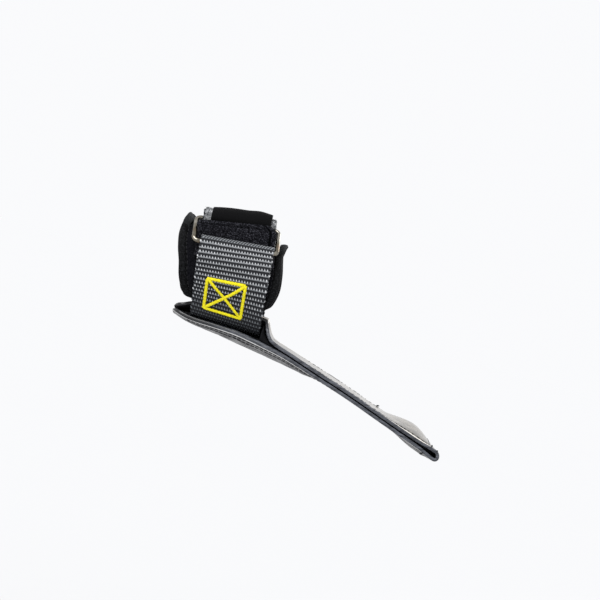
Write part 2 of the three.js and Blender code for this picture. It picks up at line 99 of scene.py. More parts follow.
lamp_light = far_lamp("key", (-0.5, -0.62, 0.9), 2.3, 34)
lamp_light += far_lamp("edge", (0.65, 0.6, 0.55), 0.9, 24)
FLOOR_SIDE, FLOOR_Z = 60.0, -0.3
floor_mesh = bpy.data.meshes.new("floor")
floor_corners = [(-1, -1), (1, -1), (1, 1), (-1, 1)]
floor_points = [(x * FLOOR_SIDE, y * FLOOR_SIDE, FLOOR_Z) for x, y in floor_corners]
floor_mesh.from_pydata(floor_points, [], [(0, 1, 2, 3)])
floor = bpy.data.objects.new("floor", floor_mesh)
bpy.context.collection.objects.link(floor)
floor_tint = [c / (c + lamp_light) for c in ROOM]
print("room ready; the floor reflects", [round(c, 2) for c in floor_tint])

# %% [markdown]
# Materials are small node trees. These helpers keep each tree short: one makes a material and sets the plain
# values of its shader, one adds a node and joins its inputs, and the others are the few nodes used most.


# %% Material helpers
def finish(name, **values):
    material = bpy.data.materials.new(name)
    material.use_nodes = True
    shader = material.node_tree.nodes["Principled BSDF"]
    for socket, value in values.items():
        shader.inputs[socket.replace("_", " ")].default_value = value
    return material, material.node_tree, shader


def add(tree, kind, inputs=None, **settings):
    new = tree.nodes.new(kind)
    for key, value in settings.items():
        setattr(new, key, value)
    for socket, value in (inputs or {}).items():
        if isinstance(value, bpy.types.NodeSocket):
            tree.links.new(value, new.inputs[socket])
        else:
            new.inputs[socket].default_value = value
    return new


def maths(tree, operation, first, second=0.0, third=0.0):
    return add(tree, "ShaderNodeMath", {0: first, 1: second, 2: third}, operation=operation).outputs[0]


def place_of(tree):
    """Where a point of the surface is, in metres."""
    return add(tree, "ShaderNodeTexCoord").outputs["Object"]


def noise(tree, scale, detail=4.0, roughness=0.55, stretch=None):
    place = place_of(tree)
    if stretch:
        place = add(tree, "ShaderNodeVectorMath", {0: place, 1: stretch}, operation="MULTIPLY").outputs[0]
    inputs = {"Vector": place, "Scale": scale, "Detail": detail, "Roughness": roughness}
    return add(tree, "ShaderNodeTexNoise", inputs).outputs["Fac"]


def colour_into(tree, shader, factor, *stops):
    ramp = add(tree, "ShaderNodeValToRGB", {"Fac": factor})
    elements = ramp.color_ramp.elements
    while len(elements) < len(stops):
        elements.new(1)
    for element, (at, colour) in zip(elements, stops):
        element.position = at
        element.color = (*colour, 1)
    tree.links.new(ramp.outputs["Color"], shader.inputs["Base Color"])


def bump(tree, shader, height, distance, strength=1.0):
    inputs = {"Height": height, "Distance": distance, "Strength": strength}
    tree.links.new(add(tree, "ShaderNodeBump", inputs).outputs["Normal"], shader.inputs["Normal"])


floor_finish, tree, shader = finish("white floor", Roughness=1.0, Specular_IOR_Level=0.0)
faint = [c * 0.998 for c in floor_tint]
colour_into(tree, shader, noise(tree, 3), (0.3, faint), (0.7, floor_tint))
floor_mesh.materials.append(floor_finish)
print("material helpers ready")

# %% [markdown]
# Every piece is a mesh made from points and faces. One helper makes it, with smooth shading, and lays it out
# flat in a UV map measured in millimetres, so that a weave drawn on that map has its true size everywhere.
# Another ties the piece to its body and hides the solid that it takes over from, where it has one.


# %% Mesh helpers
def faces_out(points, faces):
    """The faces, turned over if they point into the closed piece."""
    volume = 0.0
    for corners in {len(face) for face in faces}:
        corner = points[[face for face in faces if len(face) == corners]]
        fan = np.cross(corner[:, 1:-1] - corner[:, :1], corner[:, 2:] - corner[:, :1]).sum(axis=1)
        volume += float((fan * corner[:, 0]).sum())
    return faces if volume > 0 else [face[::-1] for face in faces]


def mesh_piece(name, points, faces, finishes, finish_of_face=None, flat=None):
    points = np.asarray(points, float)
    mesh = bpy.data.meshes.new(name)
    mesh.from_pydata((points * MM).tolist(), [], faces_out(points, faces))
    for material in finishes:
        mesh.materials.append(material)
    mesh.polygons.foreach_set("use_smooth", [True] * len(mesh.polygons))
    if finish_of_face is not None:
        mesh.polygons.foreach_set("material_index", list(finish_of_face))
    if flat is not None:
        layer = mesh.uv_layers.new(name="millimetres")
        corner = np.empty(len(mesh.loops), dtype=np.int32)
        mesh.loops.foreach_get("vertex_index", corner)
        layer.data.foreach_set("uv", np.asarray(flat, dtype=np.float32)[corner].ravel())
    mesh.update()
    new = bpy.data.objects.new(name, mesh)
    bpy.context.collection.objects.link(new)
    return new


def settle(new, node):
    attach(new, "root")
    if node:
        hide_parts(node)
    return new


print("mesh helpers ready")

# %% [markdown]
# All soft pieces lie round an oval, the opening of the closed cuff. An angle goes round it: 0 is the front,
# 90 the top, 180 the far side and -90 the underside. A height is measured off the oval. The strap leans,
# because it is pulled tight a little askew. These are the same values as in the solids, in millimetres.

# %% The cuff's oval
OVAL_DEPTH, OVAL_HEIGHT = 33.0, 26.3
LEAN_START, LEAN = -0.98, -0.1565
GAP = 0.3


def unit(vectors):
    return vectors / np.linalg.norm(vectors, axis=-1, keepdims=True)


def on_oval(angle, height):
    a = np.radians(angle)
    outward = unit(np.stack([-OVAL_HEIGHT * np.cos(a), OVAL_DEPTH * np.sin(a)], -1))
    base = np.stack([-OVAL_DEPTH * np.cos(a), OVAL_HEIGHT * np.sin(a)], -1)
    return base + np.asarray(height)[..., None] * outward


def lean_at(z):
    return LEAN_START + LEAN * z


print("oval:", 2 * OVAL_DEPTH, "by", 2 * OVAL_HEIGHT, "mm")

# %% [markdown]
# The ring is bent from one wire and plated. It lies against the strap along its lower bar and leans back,
# so it gets axes of its own: along the bars, up from the lower bar, and out from the oval.

# %% The ring's place
RING_INNER_WIDTH, RING_INNER_HEIGHT, RING_WIRE, RING_CORNER = 53.0, 18.2, 3.2, 3.2
RING_ON_OVAL, LOWER_BAR_Z, BAR_RISE = 12.3, 21.85, 0.12
RING_TILT = math.radians(42)
HALF_STRAP, STRAP_THICKNESS = 25.0, 1.8


def angle_at_height(z):
    return np.degrees(np.arcsin(z / (OVAL_HEIGHT + RING_ON_OVAL)))


bar_start = on_oval(angle_at_height(LOWER_BAR_Z - HALF_STRAP * BAR_RISE), RING_ON_OVAL)
bar_end = on_oval(angle_at_height(LOWER_BAR_Z + HALF_STRAP * BAR_RISE), RING_ON_OVAL)
bar_middle = (bar_start + bar_end) / 2
ring_along = unit(np.array([2 * HALF_STRAP, *(bar_end - bar_start)]))
ring_up = np.array([0, math.sin(RING_TILT), math.cos(RING_TILT)])
ring_up = unit(ring_up - ring_along * (ring_up @ ring_along))
ring_out = np.cross(ring_along, ring_up)
lower_bar = np.array([lean_at(bar_middle[1]), *bar_middle])
bar_spacing = RING_INNER_HEIGHT + RING_WIRE


def on_ring(along, up_from_bar, out):
    along, up_from_bar, out = np.broadcast_arrays(along, up_from_bar, out)
    raised = lower_bar + along[..., None] * ring_along + up_from_bar[..., None] * ring_up
    return raised + out[..., None] * ring_out


print("ring's lower bar at", lower_bar.round(1))

# %% [markdown]
# A wire or a rolled edge is a tube: rings of points along a line, each joined to the next. The rings are set
# at even steps, so one helper measures along a line and another finds the points at given lengths.


# %% Lines and tubes
def run_along(line):
    """The length of a line from its start to each of its points."""
    return np.concatenate([[0], np.cumsum(np.linalg.norm(np.diff(line, axis=0), axis=1))])


def at_run(at, run, line):
    """Points of a flat line at the given lengths along it."""
    return np.stack([np.interp(at, run, line[:, 0]), np.interp(at, run, line[:, 1])], -1)


def tube_faces(steps, sides, first=0, closed=False):
    """Faces of a tube whose points are numbered from the given one; an open tube gets flat ends."""
    faces = []
    for i in range(steps if closed else steps - 1):
        here, ahead = first + i * sides, first + (i + 1) % steps * sides
        for k in range(sides):
            after = (k + 1) % sides
            faces.append((here + k, here + after, ahead + after, ahead + k))
    if not closed:
        faces.append(tuple(first + k for k in range(sides))[::-1])
        faces.append(tuple(first + (steps - 1) * sides + k for k in range(sides)))
    return faces


print("line helpers ready")

# %% [markdown]
# The wire's line is a rectangle with round corners. It is walked at even steps, with a circle of points round
# each step. The plating is worn, so clouds of tarnish tint it and fine scuffs roughen it.

# %% The ring's wire
WIRE_STEPS, WIRE_SIDES, CORNER_STEPS = 220, 24, 13


def ring_path():
    half, r = (RING_INNER_WIDTH + RING_WIRE) / 2, RING_CORNER
    side, top = half - r, bar_spacing - r
    line = []
    for x, y, start in ((side, r, -90), (side, top, 0), (-side, top, 90), (-side, r, 180)):
        a = np.radians(start + np.linspace(0, 90, CORNER_STEPS))
        line += list(zip(x + r * np.cos(a), y + r * np.sin(a)))
    line = np.array(line + line[:1])
    run = run_along(line)
    return at_run(np.linspace(0, run[-1], WIRE_STEPS, endpoint=False), run, line)


path = ring_path()
ahead = unit(np.roll(path, -1, 0) - np.roll(path, 1, 0))
turns = np.linspace(0, 2 * np.pi, WIRE_SIDES, endpoint=False)
aside, out = np.cos(turns) * RING_WIRE / 2, np.sin(turns) * RING_WIRE / 2
wire = on_ring(path[:, :1] + aside * ahead[:, 1:], path[:, 1:] - aside * ahead[:, :1], out)
nickel, tree, shader = finish("worn nickel", Metallic=1.0)
tarnish = [(0.32, (0.17, 0.12, 0.08)), (0.5, (0.15, 0.135, 0.105)), (0.7, (0.34, 0.32, 0.28))]
colour_into(tree, shader, noise(tree, 110, 4), *tarnish)
scuff = noise(tree, 900, 5, 0.7)
tree.links.new(maths(tree, "MULTIPLY_ADD", scuff, 0.14, 0.08), shader.inputs["Roughness"])
bump(tree, shader, scuff, 0.00005)
faces = tube_faces(WIRE_STEPS, WIRE_SIDES, closed=True)
ring = settle(mesh_piece("ring_wire", wire.reshape(-1, 3), faces, [nickel]), "ring")
print("ring:", len(ring.data.polygons), "faces")

# %% [markdown]
# Heights and widths come from short tables. Values between their rows are eased: a cubic that keeps to the
# table's own rises and falls, because a freer curve would overshoot and push one layer through another.


# %% Tables
def hermite(start, end, leaving, arriving, t):
    return (
        start * (2 * t**3 - 3 * t**2 + 1)
        + leaving * (t**3 - 2 * t**2 + t)
        + end * (3 * t**2 - 2 * t**3)
        + arriving * (t**3 - t**2)
    )


def eased(table, at, column=1):
    """A column of a table, read between the keys in its first column, eased without overshoot."""
    keys, values = table[:, 0], table[:, column]
    if keys[0] > keys[-1]:
        keys, values = keys[::-1], values[::-1]
    step = np.diff(keys)
    chord = np.diff(values) / step
    slope = np.concatenate([[chord[0]], np.zeros(len(chord) - 1), [chord[-1]]])
    product = chord[:-1] * chord[1:]
    total = np.where(product > 0, chord[:-1] + chord[1:], 1)
    slope[1:-1] = np.where(product > 0, 2 * product / total, 0)
    at = np.clip(np.asarray(at, float), keys[0], keys[-1])
    i = np.clip(np.searchsorted(keys, at) - 1, 0, len(step) - 1)
    t = (at - keys[i]) / step[i]
    return hermite(values[i], values[i + 1], step[i] * slope[i], step[i] * slope[i + 1], t)


print("table helpers ready")

# %% [markdown]
# The strap is one length of webbing. Seen end-on it follows a line: up behind the ring's
# lower bar, over it, down the front, across the underside between the pad's plies, up the far side, under
# the ring's upper bar, over it and back along itself. Its heights add up the layers that it lies on.

# %% The strap's heights
CUSHION_THICKNESS, RING_PAD_THICKNESS, LEATHER = 5.0, 2.8, 2.3
over_cushion = CUSHION_THICKNESS + GAP + STRAP_THICKNESS / 2
second_layer = over_cushion + STRAP_THICKNESS + GAP
pad_behind_ring = CUSHION_THICKNESS + GAP + RING_PAD_THICKNESS / 2
over_ring_pad = pad_behind_ring + (RING_PAD_THICKNESS + STRAP_THICKNESS) / 2 + GAP
over_upper_ply = GAP + LEATHER + GAP + STRAP_THICKNESS / 2 + 0.1
WRAP_LOOSE = 0.6
wrap_radius = RING_WIRE / 2 + GAP + STRAP_THICKNESS / 2 + WRAP_LOOSE
up_end_on, out_end_on = unit(ring_up[1:]), unit(ring_out[1:])

# The fold over the upper bar is a loose loop, because the strap's end is stiff.
FOLD_RADIUS, FOLD_ABOVE, FOLD_BEHIND = 4.6, 1.4, 0.8
WRAP_TURN, WRAP_STEPS, FOLD_TURN, FOLD_STEPS = 80, 6, 90, 8

# Each row: angle round the oval, height off it, and how much of the ring's rise it follows.
TAIL = np.array([
    (-4, over_cushion, 0.6),
    (6, over_cushion + 0.2, 0.8),
    (17, over_ring_pad, 1),
    (26, over_ring_pad + 0.4, 1),
])
FRONT = np.array([
    (25, over_ring_pad + 4.4, 1),
    (16, over_ring_pad + 2.7, 1),
    (6, second_layer + 0.8, 0.8),
    (-4, second_layer + 0.1, 0.6),
    (-14, over_cushion + 0.4, 0.4),
    (-22, over_cushion, 0.2),
    (-34, over_cushion + 0.5, 0),
    (-44, over_cushion + 1.8, 0),
    (-52, over_cushion + 1.6, 0),
    (-62, over_upper_ply + 2.4, 0),
    (-75, over_upper_ply + 1.2, 0),
    (-90, over_upper_ply + 0.5, 0),
    (-105, over_upper_ply, 0),
    (-118, over_upper_ply, 0),
    (-136, over_cushion - 0.2, 0),
    (-146, over_cushion, 0),
    (-256, over_cushion, 0),
])
RETURN = np.array([
    (-256, second_layer + 0.4, 0),
    (-240, second_layer, 0),
    (-168, second_layer, 0),
])
FOLLOWS = 2
print("strap's heights:", round(over_cushion, 1), "mm on a cushion,", round(second_layer, 1), "mm on itself")

# %% [markdown]
# The line is worked out again for each thread across the strap, because the bars rise from one edge of the
# strap to the other. It is a smooth curve through points of the tables, with an arc round each bar.


# %% The strap's line
def angle_shift(across):
    return angle_at_height(LOWER_BAR_Z + across * BAR_RISE) - angle_at_height(LOWER_BAR_Z)


def stations(table, shift, step=8):
    first, last = table[0, 0], table[-1, 0]
    angle = np.linspace(first, last, round(abs(last - first) / step) + 1)
    return on_oval(angle + shift * eased(table, angle, FOLLOWS), eased(table, angle))


def round_bar(centre, first, second, radius, turn, steps):
    a = np.radians(np.linspace(-turn, turn, steps + 1))[:, None]
    return centre + radius * (np.cos(a) * first + np.sin(a) * second)


def strap_line(across):
    shift = angle_shift(across)
    lower = on_ring(across, 0, 0)[1:]
    upper = on_ring(across, bar_spacing, 0)[1:]
    front = stations(FRONT, shift)
    leaving = front[-1]
    to_ring = unit(upper - leaving)
    above = np.array([to_ring[1], -to_ring[0]])
    above *= np.sign(above[1])
    loop = upper + above * FOLD_ABOVE - to_ring * FOLD_BEHIND
    under, over = loop - FOLD_RADIUS * above, loop + FOLD_RADIUS * above
    back_onto = on_oval(RETURN[0, 0], RETURN[0, 1])
    bar = lower + WRAP_LOOSE * up_end_on
    return np.concatenate([
        stations(TAIL, shift),
        round_bar(bar, up_end_on, out_end_on, wrap_radius, WRAP_TURN, WRAP_STEPS),
        front,
        [leaving + share * (under - leaving) for share in (0.4, 0.8)],
        round_bar(loop, to_ring, above, FOLD_RADIUS, FOLD_TURN, FOLD_STEPS),
        [over + share * (back_onto - over) for share in (0.2, 0.6)],
        stations(RETURN, 0),
    ])


def spline(knots, points, at):
    """A smooth line through points at the given knots, and its direction."""
    step = np.diff(knots)[:, None]
    chord = np.diff(points, axis=0) / step
    inner = (chord[:-1] * step[1:] + chord[1:] * step[:-1]) / (step[1:] + step[:-1])
    slope = np.concatenate([chord[:1], inner, chord[-1:]])
    i = np.clip(np.searchsorted(knots, at) - 1, 0, len(knots) - 2)
    h = step[i]
    t = ((at - knots[i])[:, None]) / h
    line = hermite(points[i], points[i + 1], h * slope[i], h * slope[i + 1], t)
    along = (
        points[i] * (6 * t**2 - 6 * t) / h
        + slope[i] * (3 * t**2 - 4 * t + 1)
        + points[i + 1] * (6 * t - 6 * t**2) / h
        + slope[i + 1] * (3 * t**2 - 2 * t)
    )
    return line, unit(along)


strap_middle = strap_line(0)
strap_knots = run_along(strap_middle)
after_tail = len(stations(TAIL, 0))
before_fold = after_tail + WRAP_STEPS + 1 + len(stations(FRONT, 0)) + 2
fold_start, fold_end = strap_knots[before_fold], strap_knots[before_fold + FOLD_STEPS]
bar_crest = strap_knots[after_tail] + wrap_radius * (math.radians(WRAP_TURN) + RING_TILT)
print("strap length:", round(strap_knots[-1]), "mm, folds over the ring at", round(fold_start))

# %% [markdown]
# The strap has width, so its line becomes a grid: one line for each thread across it. Below the ring it has
# slid a little along the cuff, and that dies out as it turns underneath.

# %% The strap's sheet
SLID_START, SLID = 0.7, 0.0325
SLID_UNTIL, SLID_GONE = bar_crest + 45, bar_crest + 75


def smooth_step(x, low, high):
    t = np.clip((np.asarray(x, float) - low) / (high - low), 0, 1)
    return t * t * (3 - 2 * t)


def strap_grid(across, along):
    """Points, outward directions and flat map of the strap's middle sheet, as rows along it."""
    middle, _ = spline(strap_knots, strap_middle, along)
    slid = (SLID_START + SLID * middle[:, 1]) * (1 - smooth_step(along, SLID_UNTIL, SLID_GONE))
    points = np.empty((len(along), len(across), 3))
    normals = np.zeros_like(points)
    for c, a in enumerate(across):
        line, direction = spline(strap_knots, strap_line(a), along)
        points[:, c, 0] = lean_at(middle[:, 1]) + slid + a * ring_along[0]
        points[:, c, 1:] = line
        normals[:, c, 1] = direction[:, 1]
        normals[:, c, 2] = -direction[:, 0]
    return points, normals, np.stack(np.meshgrid(across, along), -1)


print("the strap slides back into line by", round(SLID_GONE), "mm along it")

# %% [markdown]
# The webbing is woven from thick cords. Each row is about three millimetres high: a bright cord along its
# lower edge, a line of rounded teeth above it, and dark pits between the teeth. That relief is large enough
# to cast shadows, so it is modelled in the mesh, and the same pattern in the material adds painted shade in
# the pits. Over the ring's bar the weave is pulled smooth.

# %% The weave
ROW_PITCH, CORD_PITCH, WEB_HALF = 3.12, 1.9, 24.0
CORD_AT, CORD_WIDE, CORD_RISE = 0.15, 0.2, 0.8
TOOTH_AT, TOOTH_WIDE = 0.35, 0.34
TOOTH_BLUNT, TOOTH_TAPER = 0.4, 2.8
TOOTH_LEAN, ROW_SHIFT = 0.3, 0.37
BAND_SLANT, BAND_RISE, BAND_RELIEF = 0.25, 0.55, 0.35
BAND_FROM = bar_crest - 5.0
BAND_TO = ROW_PITCH * round((bar_crest + 4.2) / ROW_PITCH) - 0.6


def lump(value, centre, wide):
    return np.sqrt(np.clip(1 - ((value - centre) / wide) ** 2, 0, 1))


def weave_height(across, along):
    """Relief of the weave, from 0 in a pit to 1 on a tooth."""
    row = along / ROW_PITCH
    up_row = 1 - row % 1
    beside = across / CORD_PITCH + TOOTH_LEAN * up_row + ROW_SHIFT * np.floor(row)
    bead = (0.5 + 0.5 * np.cos(2 * np.pi * beside)) ** (TOOTH_BLUNT + TOOTH_TAPER * up_row)
    cord, tooth = lump(up_row, CORD_AT, CORD_WIDE), lump(up_row, TOOTH_AT, TOOTH_WIDE)
    height = np.maximum(CORD_RISE * cord, bead * tooth)
    pulled = smooth_step(along, BAND_FROM - 1, BAND_FROM) * (1 - smooth_step(along, BAND_TO, BAND_TO + 1))
    taut = BAND_RISE + BAND_RELIEF * np.cos(2 * np.pi * (across / CORD_PITCH + BAND_SLANT * along))
    return height * (1 - pulled) + taut * pulled


print("weave:", round(strap_knots[-1] / ROW_PITCH), "rows")

# %% [markdown]
# Patterns that follow the cloth are drawn on its flat map, and marks that don't, such as painted shade, by
# the place in space. These helpers read the flat map, take one axis of a place, draw bands and turn one span
# of values into another.


# %% Nodes for maps
def remap(tree, value, low, high, to_low, to_high):
    inputs = {0: value, 1: low, 2: high, 3: to_low, 4: to_high}
    return add(tree, "ShaderNodeMapRange", inputs).outputs[0]


def axis(tree, vector, name):
    return add(tree, "ShaderNodeSeparateXYZ", {0: vector}).outputs[name]


def flat_of(tree):
    """Where a point of the surface is on the piece laid out flat, in millimetres."""
    return add(tree, "ShaderNodeUVMap", uv_map="millimetres").outputs[0]


def wave(tree, scale, distortion, direction):
    inputs = {"Vector": flat_of(tree), "Scale": scale, "Distortion": distortion, "Detail": 2.0}
    return add(tree, "ShaderNodeTexWave", inputs, bands_direction=direction).outputs["Fac"]


print("map helpers ready")

# %% [markdown]
# The material works out the same rows and teeth from the flat map. It gets darker towards the bottom, painted
# shade for the strap's lower part, which faces down, and an uneven dye breaks up the pattern.


# %% The webbing's colour
def lump_nodes(tree, value, centre, wide):
    off = maths(tree, "DIVIDE", maths(tree, "SUBTRACT", value, centre), wide)
    inside = maths(tree, "MULTIPLY_ADD", off, maths(tree, "MULTIPLY", off, -1.0), 1.0)
    return maths(tree, "SQRT", maths(tree, "MAXIMUM", inside, 0.0))


def cosine_nodes(tree, turns, size, middle):
    angle = maths(tree, "MULTIPLY", turns, 2 * math.pi)
    return maths(tree, "MULTIPLY_ADD", maths(tree, "COSINE", angle), size, middle)


webbing, tree, shader = finish("grey webbing", Roughness=0.75, Specular_IOR_Level=0.25)
across_mm, along_mm = [axis(tree, flat_of(tree), name) for name in "XY"]
cords = maths(tree, "DIVIDE", across_mm, CORD_PITCH)
row = maths(tree, "DIVIDE", along_mm, ROW_PITCH)
up_row = maths(tree, "SUBTRACT", 1.0, maths(tree, "FRACT", row))
lean = maths(tree, "MULTIPLY_ADD", maths(tree, "FLOOR", row), ROW_SHIFT, cords)
bead = cosine_nodes(tree, maths(tree, "MULTIPLY_ADD", up_row, TOOTH_LEAN, lean), 0.5, 0.5)
bead = maths(tree, "POWER", bead, maths(tree, "MULTIPLY_ADD", up_row, TOOTH_TAPER, TOOTH_BLUNT))
height = axis(tree, place_of(tree), "Z")
# Painted shade: cords and teeth darken towards the bottom of the strap, the cords more.
cord_painted_shade = remap(tree, height, -0.024, 0.014, 0.42, 0.8)
tooth_painted_shade = remap(tree, height, -0.027, -0.012, 0.55, 1.02)
cord = maths(tree, "MULTIPLY", lump_nodes(tree, up_row, CORD_AT, CORD_WIDE), cord_painted_shade)
tooth = maths(tree, "MULTIPLY", lump_nodes(tree, up_row, TOOTH_AT, TOOTH_WIDE), bead)
knuckle = maths(tree, "MAXIMUM", cord, maths(tree, "MULTIPLY", tooth, tooth_painted_shade))
band_middle, band_half = (BAND_FROM + BAND_TO) / 2, (BAND_TO - BAND_FROM) / 2
from_band = maths(tree, "ABSOLUTE", maths(tree, "SUBTRACT", along_mm, band_middle))
pulled = remap(tree, from_band, band_half, band_half + 1.0, 1.0, 0.0)
taut = cosine_nodes(tree, maths(tree, "MULTIPLY_ADD", along_mm, BAND_SLANT, cords), 0.28, 0.49)
knuckle = maths(tree, "MULTIPLY_ADD", maths(tree, "SUBTRACT", taut, knuckle), pulled, knuckle)
uneven = maths(tree, "MULTIPLY_ADD", noise(tree, 650, 3), 0.3, 0.85)
# The ramp turns the relief into colour: dark in the pits as painted shade, pale on the cords and teeth.
dark, dim, grey = (0.011, 0.011, 0.014), (0.024, 0.025, 0.03), (0.085, 0.097, 0.105)
light, white = (0.23, 0.238, 0.25), (0.74, 0.75, 0.76)
shades = [(0.1, dark), (0.3, dim), (0.5, grey), (0.76, light), (1.0, white)]
colour_into(tree, shader, maths(tree, "MULTIPLY", knuckle, uneven), *shades)
bump(tree, shader, wave(tree, 2.6, 3.0, "DIAGONAL"), 0.00012, 0.6)
print("webbing's colour ready")

# %% [markdown]
# A strap, a tab or a pad is a band: an outer and an inner grid of points, closed by rounded edges along its
# sides and by plain ends. A solidify modifier would do for an even sheet, but the weave, the dents and the
# seams change the thickness, so both faces are given.


# %% Bands
def ribbon(name, outer, inner, finishes, flat, finish_by_side=(0, 0, 0), roundness=0.6, edge_steps=3):
    """A closed band between two grids (rows, columns, 3), with rounded edges and plain ends."""
    rows, columns, _ = outer.shape
    middle, half = (outer + inner) / 2, (outer - inner) / 2
    reach = np.linalg.norm(half, axis=2, keepdims=True) * roundness
    turns = np.pi * np.arange(1, edge_steps + 1) / (edge_steps + 1)

    def rounded(side, beside, turns):
        base, lift = middle[:, side], half[:, side]
        away = unit(base - middle[:, beside]) * reach[:, side]
        return np.stack([base + lift * math.cos(t) + away * math.sin(t) for t in turns], 1)

    last_edge, first_edge = rounded(-1, -2, turns), rounded(0, 1, turns[::-1])
    loop = np.concatenate([outer, last_edge, inner[:, ::-1], first_edge], 1)
    last_flat, first_flat = [np.repeat(flat[:, [side]], edge_steps, 1) for side in (-1, 0)]
    loop_flat = np.concatenate([flat, last_flat, flat[:, ::-1], first_flat], 1)
    count = loop.shape[1]
    faces = []
    for r in range(rows - 1):
        here, ahead = r * count, (r + 1) * count
        for k in range(count):
            after = (k + 1) % count
            faces.append((here + k, ahead + k, ahead + after, here + after))
    edge_marks = [2] * (edge_steps + 1)
    side_of = [0] * (columns - 1) + edge_marks + [1] * (columns - 1) + edge_marks
    marks = [finish_by_side[side] for side in side_of] * (rows - 1)
    below = 2 * columns + edge_steps - 1
    cap = [(k + 1, below - k - 1, below - k, k) for k in range(columns - 1)]
    for first in (columns - 1, below):
        cap.append([(first + k) % count for k in range(edge_steps + 2)])
    for start, order in ((0, 1), ((rows - 1) * count, -1)):
        faces += [tuple(start + k for k in face[::order]) for face in cap]
    marks += [finish_by_side[2]] * (2 * len(cap))
    return mesh_piece(name, loop.reshape(-1, 3), faces, finishes, marks, loop_flat.reshape(-1, 2))


print("band helper ready")

# %% [markdown]
# The mesh has six steps to a row of the weave, and a selvage that swells with each row. It is made in two
# lengths, which meet out of sight underneath, between the plies.

# %% The strap
ROW_STEPS, WEB_COLUMNS, SELVAGE, SELVAGE_WIDE = 6, 93, 0.5, 1.2
PIT_DEPTH, RELIEF = 0.5, 0.65
web_along = np.arange(0, strap_knots[-1], ROW_PITCH / ROW_STEPS)
web_across = np.linspace(-WEB_HALF, WEB_HALF, WEB_COLUMNS)
web_points, web_normals, flat = strap_grid(web_across, web_along)
relief = weave_height(flat[..., 0], flat[..., 1])[..., None]
edge = smooth_step(np.abs(web_across), WEB_HALF - SELVAGE_WIDE, WEB_HALF) * np.sign(web_across)
web_points[..., 0] += SELVAGE * np.abs(np.sin(np.pi * web_along / ROW_PITCH))[:, None] * edge
half = STRAP_THICKNESS / 2 - PIT_DEPTH + RELIEF * relief
web_outer, web_inner = web_points + web_normals * half, web_points - web_normals * half
web_middle = web_points[:, WEB_COLUMNS // 2]
underneath_row = int(np.argmin(web_middle[:, 2]))
for name, rows in (("strap_near", slice(0, underneath_row + 1)), ("strap_far", slice(underneath_row, None))):
    strap = ribbon(name, web_outer[rows], web_inner[rows], [webbing], flat[rows])
    settle(strap, "webbing_strap")
    print(name, len(strap.data.polygons), "faces")

# %% [markdown]
# A thread is a thin tube, tapered at both ends. Bevelled curves would look the same, but hundreds of stitches
# are lighter as one mesh, so the helper makes all the threads of a seam together. No thread runs along the
# askew direction, so it serves to turn each one's section.

# %% Threads
ASKEW = np.array([0.31, -0.87, 0.38])


def threads(name, lines, radius, material, sides=6):
    """A piece of closed threads through lines of shape (count, steps, 3), thinner at their ends."""
    count, steps, _ = lines.shape
    heading = unit(np.gradient(lines, axis=1))
    aside = unit(np.cross(heading, ASKEW))
    upward = np.cross(heading, aside)
    turn = np.linspace(0, 2 * np.pi, sides, endpoint=False)
    thick = radius * np.sin(np.pi * np.linspace(0.12, 0.88, steps)) ** 0.5
    circle = aside[:, :, None] * np.cos(turn)[:, None] + upward[:, :, None] * np.sin(turn)[:, None]
    points = lines[:, :, None] + circle * thick[None, :, None, None]
    faces = [face for n in range(count) for face in tube_faces(steps, sides, n * steps * sides)]
    return settle(mesh_piece(name, points.reshape(-1, 3), faces, [material]), None)


print("thread helper ready")

# %% [markdown]
# A box with a cross in it, in thick yellow satin stitch, marks where the strap's end is sewn down. Each
# stitch is one short thread laid across the line, a little arched, so that the line catches light.

# %% The yellow stitching
MARK_BELOW, MARK_ACROSS, MARK_PITCH, MARK_RADIUS = 11.0, -2.7, 0.5, 0.34
MARK_HALF, MARK_UNEVEN, MARK_SLANT, MARK_LIFT, MARK_ARCH = 1.0, 0.12, 0.22, 1.02, 0.42
BOX_CORNERS = np.array([(-13, -11.5), (13, -11.5), (13, 11.5), (-13, 11.5)])
BOX_RUNS = [(0, 1), (1, 2), (2, 3), (3, 0), (0, 2), (1, 3)]


def on_strap(a, s, height):
    """Points over the strap's outer face, at distances across and along it."""
    r = np.interp(s, web_along, np.arange(len(web_along)))
    c = (a - web_across[0]) / (web_across[1] - web_across[0])
    r0 = np.clip(r.astype(int), 0, len(web_along) - 2)
    c0 = np.clip(c.astype(int), 0, len(web_across) - 2)
    u, v = (r - r0)[..., None], (c - c0)[..., None]
    mixed = []
    for grid in (web_points, web_normals):
        near = grid[r0, c0] * (1 - v) + grid[r0, c0 + 1] * v
        far = grid[r0 + 1, c0] * (1 - v) + grid[r0 + 1, c0 + 1] * v
        mixed.append(near * (1 - u) + far * u)
    return mixed[0] + mixed[1] * np.asarray(height)[..., None]


front = (web_along > bar_crest) & (web_along < bar_crest + 60)
mark_along = np.interp(MARK_BELOW, -web_middle[front, 2], web_along[front])
part = np.linspace(-1, 1, 5)[:, None]
arch = MARK_LIFT + MARK_ARCH * (1 - part[:, 0] ** 2)
stitches = []
for a, b in BOX_RUNS:
    start, end = BOX_CORNERS[a], BOX_CORNERS[b]
    ahead = unit(end - start)
    beside = np.array([-ahead[1], ahead[0]])
    for at in np.arange(0.2, np.linalg.norm(end - start), MARK_PITCH):
        width = MARK_HALF + MARK_UNEVEN * math.sin(at * 2.7)
        laid = start + ahead * at + beside * width * part + ahead * MARK_SLANT * part
        stitches.append(on_strap(MARK_ACROSS + laid[:, 0], mark_along + laid[:, 1], arch))
yellow, tree, shader = finish("yellow thread", Roughness=0.45, Specular_IOR_Level=0.3)
colour_into(tree, shader, noise(tree, 800, 3), (0.3, (0.72, 0.62, 0.004)), (0.7, (0.95, 0.87, 0.012)))
bump(tree, shader, noise(tree, 3000, 2), 0.00008)
threads("box_stitch", np.array(stitches), MARK_RADIUS, yellow)
print("yellow stitching:", len(stitches), "stitches")

# %% [markdown]
# The strap's end carries brushed loop tape, for hook tape to grip. It wraps over the ring's bar with the
# strap. Its pile is a lumpy surface of light and dark loops, with loose fibres along its two edges.

